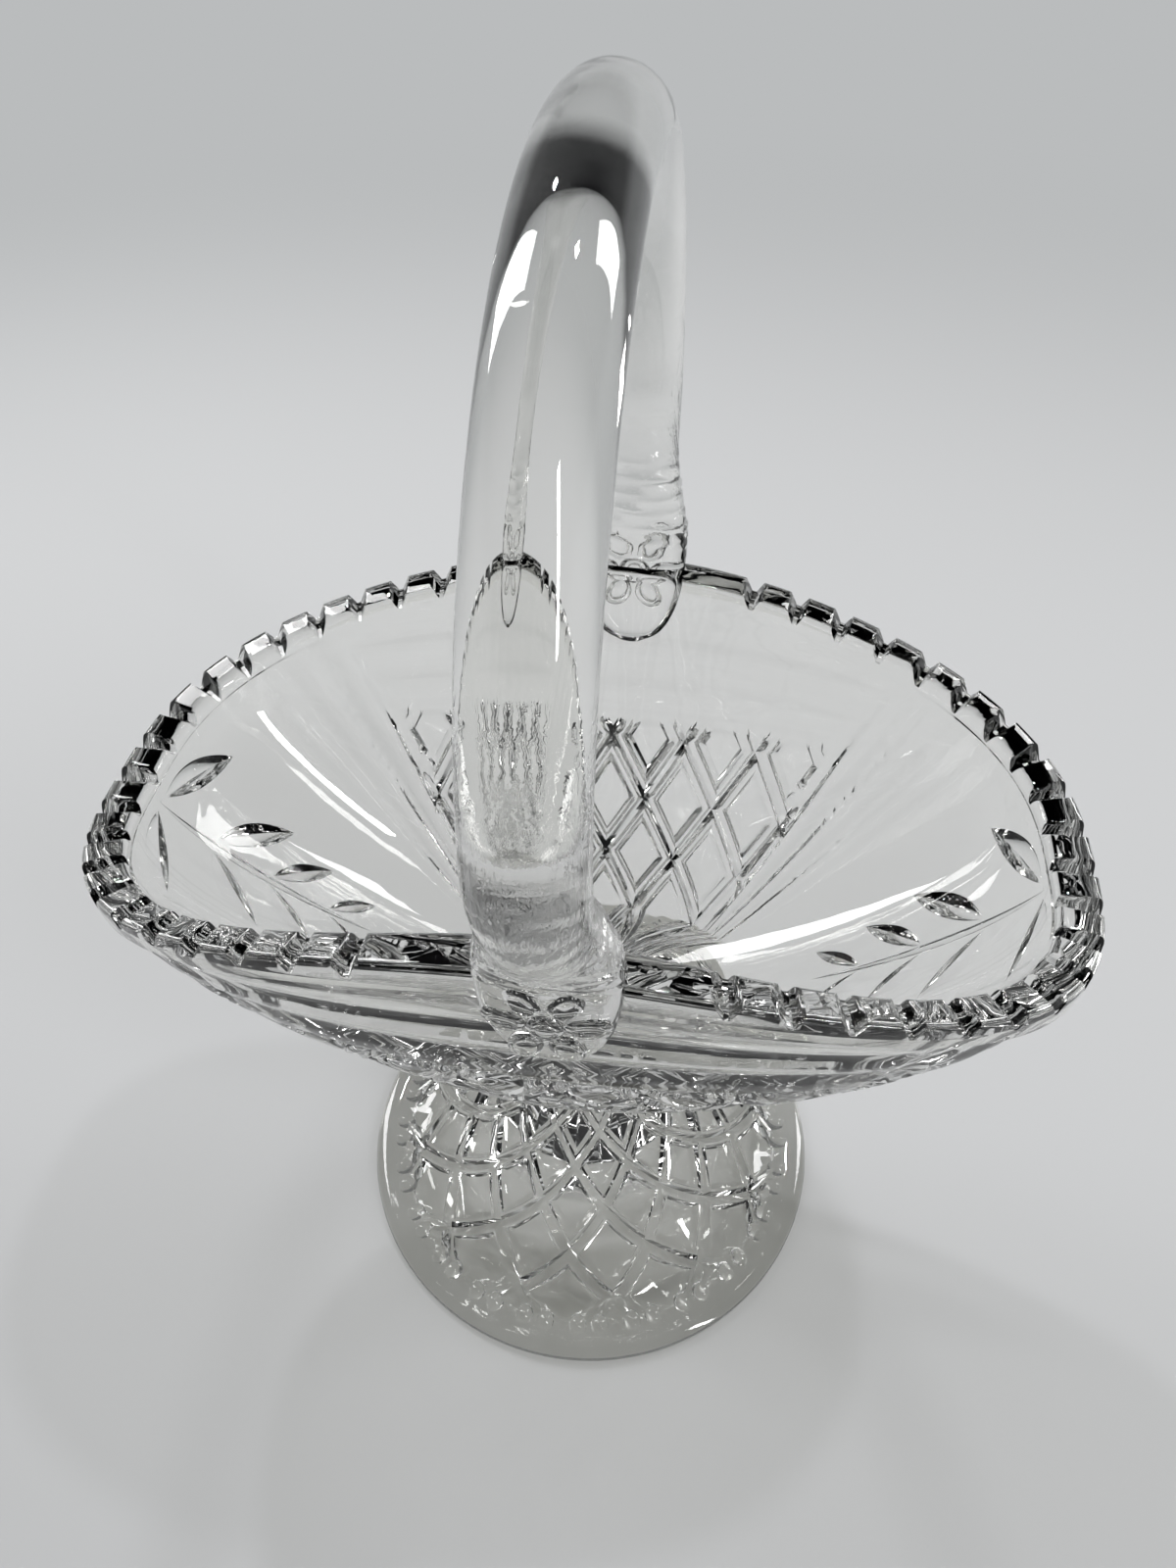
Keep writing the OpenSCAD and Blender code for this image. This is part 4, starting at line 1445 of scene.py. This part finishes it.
    def join(self, body: bpy.types.Object) -> None:
        """Fuses the handle to the body."""
        rod = self.rod()
        for side in Side:
            self.flower(rod, side)
        combine(body, rod, Work.FUSE)


@dataclass(frozen=True)
class Crystal:
    """Lead crystal, pressed, cut and fire-polished: clear, bright and a little wavy.

    Lengths and heights are in millimetres.

    Attributes:
        name: Name of the material.
        colour: Tint of the glass.
        shadow: Tint of the light that comes through it onto the board.
        ior: Index of refraction.
        roughness: Roughness of the polished glass.
        worn_roughness: Roughness of the ring that it stands on.
        worn_low: Height up to which the ring is worn.
        worn_high: Height at which the glass is polished.
        wave_pitch: Distance between the waves in the surface.
        wave_height: Height of the waves.
        crinkle_pitch: Distance between the wrinkles in the legs.
        crinkle_height: Height of the wrinkles.
        crinkle_squash: How much closer they repeat across than up the leg.
        crinkle_low: Height at which the wrinkles start.
        crinkle_full: Height at which they have their full height.
        crinkle_fade: Height at which they start to fade.
        crinkle_high: Height at which they end.
    """

    name: str = "lead_crystal_fire_polished"
    colour: str = "#FAFAF8"
    shadow: str = "#E6E6E4"
    ior: float = 1.545
    roughness: float = 0.012
    worn_roughness: float = 0.22
    worn_low: float = 0.1
    worn_high: float = 0.5
    wave_pitch: float = 9.0
    wave_height: float = 0.05
    crinkle_pitch: float = 1.6
    crinkle_height: float = 0.2
    crinkle_squash: float = 0.22
    crinkle_low: float = 157.0
    crinkle_full: float = 162.0
    crinkle_fade: float = 177.0
    crinkle_high: float = 212.0

    def waves(self, tree: bpy.types.NodeTree, place: bpy.types.Node) -> bpy.types.Node:
        """Slow waves left by the mould and the fire polish."""
        wave = add_node(tree, "ShaderNodeTexNoise", None,
                        {"Vector": place.outputs["Object"], "Scale": 1 / (self.wave_pitch * MM),
                         "Detail": 1.5, "Roughness": 0.45})
        return add_node(tree, "ShaderNodeBump", None,
                        {"Height": wave.outputs["Fac"], "Distance": self.wave_height * MM, "Strength": 1.0})

    def wrinkles(self, tree: bpy.types.NodeTree, place: bpy.types.Node, up: bpy.types.NodeSocket,
                 under: bpy.types.NodeSocket) -> bpy.types.Node:
        """Fine upright wrinkles, left in the legs where the soft rod chilled as it was pulled down.

        Args:
            tree: The material's node tree.
            place: Its texture coordinates.
            up: Height of the shaded point.
            under: Normal that the wrinkles add to.

        Returns:
            The bump node.
        """
        tall = add_node(tree, "ShaderNodeMapping", None,
                        {"Vector": place.outputs["Object"], "Scale": (1.0, 1.0, self.crinkle_squash)})
        fibre = add_node(tree, "ShaderNodeTexNoise", None,
                         {"Vector": tall.outputs[0], "Scale": 1 / (self.crinkle_pitch * MM), "Detail": 3.0,
                          "Roughness": 0.6, "Distortion": 0.5})
        start = add_node(tree, "ShaderNodeMapRange", {"interpolation_type": "SMOOTHSTEP"},
                         {"Value": up, "From Min": self.crinkle_low * MM,
                          "From Max": self.crinkle_full * MM})
        fade = add_node(tree, "ShaderNodeMapRange", {"interpolation_type": "SMOOTHSTEP"},
                        {"Value": up, "From Min": self.crinkle_fade * MM,
                         "From Max": self.crinkle_high * MM, "To Min": 1.0, "To Max": 0.0})
        part = add_node(tree, "ShaderNodeMath", {"operation": "MULTIPLY"},
                        {0: start.outputs["Result"], 1: fade.outputs["Result"]})
        return add_node(tree, "ShaderNodeBump", None,
                        {"Height": fibre.outputs["Fac"], "Distance": self.crinkle_height * MM,
                         "Strength": part.outputs[0], "Normal": under})

    def material(self) -> bpy.types.Material:
        """The material, made once."""
        found = bpy.data.materials.get(self.name)
        if found:
            return found
        made = bpy.data.materials.new(self.name)
        made.use_nodes = True
        tree = made.node_tree
        tree.nodes.clear()
        place = add_node(tree, "ShaderNodeTexCoord")
        xyz = add_node(tree, "ShaderNodeSeparateXYZ", None, {0: place.outputs["Object"]})
        wave = self.waves(tree, place)
        wrinkle = self.wrinkles(tree, place, xyz.outputs["Z"], wave.outputs["Normal"])
        # The ring that the foot stands on is worn matt
        worn = add_node(tree, "ShaderNodeMapRange", None,
                        {"Value": xyz.outputs["Z"], "From Min": self.worn_low * MM,
                         "From Max": self.worn_high * MM, "To Min": self.worn_roughness,
                         "To Max": self.roughness})
        glass = add_node(tree, "ShaderNodeBsdfPrincipled", None,
                         {"Base Color": linear(self.colour), "IOR": self.ior, "Transmission Weight": 1.0,
                          "Roughness": worn.outputs["Result"], "Normal": wrinkle.outputs["Normal"]})
        # Clear glass lets most of the lamps' light through, so its shadow is pale
        clear = add_node(tree, "ShaderNodeBsdfTransparent", None, {"Color": linear(self.shadow)})
        path = add_node(tree, "ShaderNodeLightPath")
        mix = add_node(tree, "ShaderNodeMixShader", None,
                       {0: path.outputs["Is Shadow Ray"], 1: glass.outputs[0], 2: clear.outputs[0]})
        add_node(tree, "ShaderNodeOutputMaterial", None, {"Surface": mix.outputs[0]})
        return made


@dataclass(frozen=True)
class Backdrop:
    """Matt painted board under the basket, which fades into an even pale surround.

    Attributes:
        name: Name of the material.
        colour: Colour of the paint.
        surround: Colour of the surround.
        grain: Distance between the grains of the paint in millimetres.
        grain_height: Height of the grains in millimetres.
        fade_near: Distance from the foot in metres at which the board starts to fade.
        fade_far: Distance in metres at which only the surround is left.
    """

    name: str = "painted_board_matt"
    colour: str = "#C4C5C6"
    surround: str = "#BABCBD"
    grain: float = 2.5
    grain_height: float = 0.02
    fade_near: float = 0.25
    fade_far: float = 0.9

    def far_share(self, tree: bpy.types.NodeTree, place: bpy.types.Node) -> bpy.types.Node:
        """How far the board has faded, for what the eye sees straight, mirrored or through the glass."""
        away = add_node(tree, "ShaderNodeVectorMath", {"operation": "LENGTH"}, {0: place.outputs["Object"]})
        far = add_node(tree, "ShaderNodeMapRange", {"interpolation_type": "SMOOTHSTEP"},
                       {"Value": away.outputs["Value"], "From Min": self.fade_near,
                        "From Max": self.fade_far})
        path = add_node(tree, "ShaderNodeLightPath")
        gloss = add_node(tree, "ShaderNodeMath", {"operation": "MAXIMUM"},
                         {0: path.outputs["Is Camera Ray"], 1: path.outputs["Is Glossy Ray"]})
        seen = add_node(tree, "ShaderNodeMath", {"operation": "MAXIMUM"},
                        {0: gloss.outputs[0], 1: path.outputs["Is Transmission Ray"]})
        return add_node(tree, "ShaderNodeMath", {"operation": "MULTIPLY"},
                        {0: far.outputs["Result"], 1: seen.outputs[0]})

    def material(self) -> bpy.types.Material:
        """The material, with a faint mottle of the paint."""
        made = bpy.data.materials.new(self.name)
        made.use_nodes = True
        tree = made.node_tree
        tree.nodes.clear()
        place = add_node(tree, "ShaderNodeTexCoord")
        paint = add_node(tree, "ShaderNodeTexNoise", None,
                         {"Vector": place.outputs["Object"], "Scale": 1 / (self.grain * MM)})
        bump = add_node(tree, "ShaderNodeBump", None,
                        {"Height": paint.outputs["Fac"], "Distance": self.grain_height * MM,
                         "Strength": 0.4})
        board = add_node(tree, "ShaderNodeBsdfPrincipled", None,
                         {"Base Color": linear(self.colour), "Roughness": 0.8,
                          "Normal": bump.outputs["Normal"]})
        share = self.far_share(tree, place)
        pale = add_node(tree, "ShaderNodeEmission", None, {"Color": linear(self.surround)})
        mix = add_node(tree, "ShaderNodeMixShader", None,
                       {0: share.outputs[0], 1: board.outputs[0], 2: pale.outputs[0]})
        add_node(tree, "ShaderNodeOutputMaterial", None, {"Surface": mix.outputs[0]})
        return made


@dataclass
class Basket:
    """The whole basket as one closed body of crystal."""

    bowl: Bowl
    foot: Foot
    handle: Handle
    sharp_degrees: float = 40.0

    def build(self) -> bpy.types.Object:
        """Builds the body, cuts it, fuses the handle on and dresses it."""
        skin = Skin()
        self.foot.add(skin)
        self.bowl.add_outer(skin)
        self.bowl.add_rim(skin)
        self.bowl.add_inner(skin)
        body = skin.build("crystal_basket")
        log.info("body: %d triangles", len(body.data.polygons))
        self.foot.add_nubs(body)
        RimTeeth(self.bowl).cut(body)
        Fern(self.bowl).cut(body)
        self.handle.join(body)
        self.dress(body)
        return body

    def dress(self, body: bpy.types.Object) -> None:
        """Gives the body its glass, soft shading and crisp cut edges."""
        mesh = body.data
        mesh.materials.clear()
        mesh.materials.append(Crystal().material())
        mesh.polygons.foreach_set("material_index", np.zeros(len(mesh.polygons), np.int32))
        mesh.shade_smooth()
        mesh.set_sharp_from_angle(angle=math.radians(self.sharp_degrees))
        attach(body, "root")
        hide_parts(NODE)


@dataclass(frozen=True)
class Lamp:
    """A soft box that faces the basket.

    Attributes:
        name: Name of the lamp.
        place: Where it hangs, in metres.
        size: Width and height in metres.
        power: Light in watts.
        aim: The place that it faces, in metres.
    """

    name: str
    place: tuple[float, float, float]
    size: tuple[float, float]
    power: float
    aim: tuple[float, float, float] = (0, 0, 0.1)

    def hang(self) -> None:
        """Puts the lamp into the scene."""
        data = bpy.data.lights.new(self.name, "AREA")
        data.shape = "RECTANGLE"
        data.size, data.size_y = self.size
        data.energy = self.power
        made = bpy.data.objects.new(self.name, data)
        made.location = self.place
        made.rotation_euler = (Vector(self.aim) - Vector(self.place)).to_track_quat("-Z", "Y").to_euler()
        made.visible_camera = False
        bpy.context.scene.collection.objects.link(made)


@dataclass
class Studio:
    """Plain pale floor and surround, soft lamps, and the camera of the photograph.

    Attributes:
        lamps: The lamps.
        floor_reach: Half length of the floor in metres.
        backdrop: Finish of the floor and colour of the surround.
        ceiling_colour: Colour of the ceiling.
        ceiling_low: Sine of the angle above the horizon at which the surround starts to darken.
        ceiling_high: Sine of the angle at which it has the ceiling's colour.
        bounces: Most times that light is followed through the glass.
        camera_place: Place of the camera in metres.
        azimuth: Turn of the camera round the basket in radians.
        elevation: How steeply it looks down, in radians.
        roll: Turn about the way that it looks, in radians.
        focal: Focal length in pixels of the photograph.
        photo_height: Height of the photograph in pixels.
        sensor: Length of the sensor's longer side in millimetres.
    """

    lamps: tuple[Lamp, ...] = (
        Lamp("soft_left", (-0.8, 0.45, 0.75), (0.22, 0.8), 6.5),
        Lamp("soft_right", (0.85, 0.65, 0.8), (0.2, 0.7), 5.0),
        Lamp("strip_right", (0.6, -0.45, 0.6), (0.06, 0.6), 3.0),
        Lamp("spark_left", (-0.35, 0.6, 1.1), (0.05, 0.05), 4.0),
        Lamp("spark_right", (0.3, 0.3, 1.2), (0.06, 0.06), 3.5))
    floor_reach: float = 8.0
    backdrop: Backdrop = field(default_factory=Backdrop)
    ceiling_colour: str = "#0C0C0E"
    ceiling_low: float = 0.12
    ceiling_high: float = 0.38
    bounces: int = 16
    camera_place: tuple[float, float, float] = (0.023017, -0.145374, 0.287667)
    azimuth: float = 0.152
    elevation: float = 0.796
    roll: float = -0.015
    focal: float = 1155.0
    photo_height: float = 1600.0
    sensor: float = 36.0

    def floor(self) -> None:
        """The floor, one flat sheet."""
        far = self.floor_reach / MM
        corners = np.array([(-far, -far, 0), (far, -far, 0), (far, far, 0), (-far, far, 0)])
        made = new_mesh("floor", corners, [[0, 1, 2, 3]])
        made.data.materials.append(self.backdrop.material())

    def camera(self) -> None:
        """The camera at the photograph's place, angle and focal length."""
        az, el, c, s = self.azimuth, self.elevation, math.cos(self.roll), math.sin(self.roll)
        back = Vector((math.sin(az) * math.cos(el), -math.cos(az) * math.cos(el), math.sin(el)))
        level = Vector((math.cos(az), math.sin(az), 0))
        right = c * level + s * back.cross(level)
        up = back.cross(right)
        data = bpy.data.cameras.new("camera")
        data.sensor_width = self.sensor
        data.lens = self.focal / self.photo_height * self.sensor
        data.clip_start, data.clip_end = 0.01, 20.0
        made = bpy.data.objects.new("camera", data)
        turn = Matrix((right, up, back)).transposed().to_4x4()
        made.matrix_world = Matrix.Translation(self.camera_place) @ turn
        bpy.context.scene.collection.objects.link(made)
        bpy.context.scene.camera = made

    def world(self) -> None:
        """A pale surround, with a dark ceiling that only the glass shows, as light and dark facets."""
        made = bpy.data.worlds.new("studio")
        made.use_nodes = True
        tree = made.node_tree
        tree.nodes.clear()
        place = add_node(tree, "ShaderNodeTexCoord")
        xyz = add_node(tree, "ShaderNodeSeparateXYZ", None, {0: place.outputs["Generated"]})
        high = add_node(tree, "ShaderNodeMapRange", {"interpolation_type": "SMOOTHSTEP"},
                        {"Value": xyz.outputs["Z"], "From Min": self.ceiling_low,
                         "From Max": self.ceiling_high})
        path = add_node(tree, "ShaderNodeLightPath")
        share = add_node(tree, "ShaderNodeMath", {"operation": "SUBTRACT", "use_clamp": True},
                         {0: high.outputs["Result"], 1: path.outputs["Is Camera Ray"]})
        mix = add_node(tree, "ShaderNodeMix", {"data_type": "RGBA"},
                       {0: share.outputs[0], 6: linear(self.backdrop.surround),
                        7: linear(self.ceiling_colour)})
        light = add_node(tree, "ShaderNodeBackground", None, {"Color": mix.outputs[2]})
        add_node(tree, "ShaderNodeOutputWorld", None, {"Surface": light.outputs[0]})
        bpy.context.scene.world = made

    def build(self) -> None:
        """Sets up the whole studio."""
        scene = bpy.context.scene
        scene.view_settings.view_transform = "Standard"
        scene.cycles.max_bounces = self.bounces
        scene.cycles.transmission_bounces = self.bounces
        scene.cycles.caustics_refractive = False
        self.world()
        self.floor()
        for lamp in self.lamps:
            lamp.hang()
        self.camera()


def main() -> None:
    """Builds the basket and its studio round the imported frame."""
    logging.basicConfig(level=logging.INFO, format="%(name)s: %(message)s")
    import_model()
    low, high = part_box(NODE)
    bowl = Bowl(half_length=(high.x - low.x) / 2 / MM)
    foot = Foot(waist_radius=bowl.waist_radius, waist_height=bowl.waist_height)
    handle = Handle(top=high.z / MM, bowl=bowl)
    body = Basket(bowl, foot, handle).build()
    log.info("%s: %d faces", body.name, len(body.data.polygons))
    Studio().build()
    bpy.context.view_layer.update()


if __name__ == "__main__":
    main()
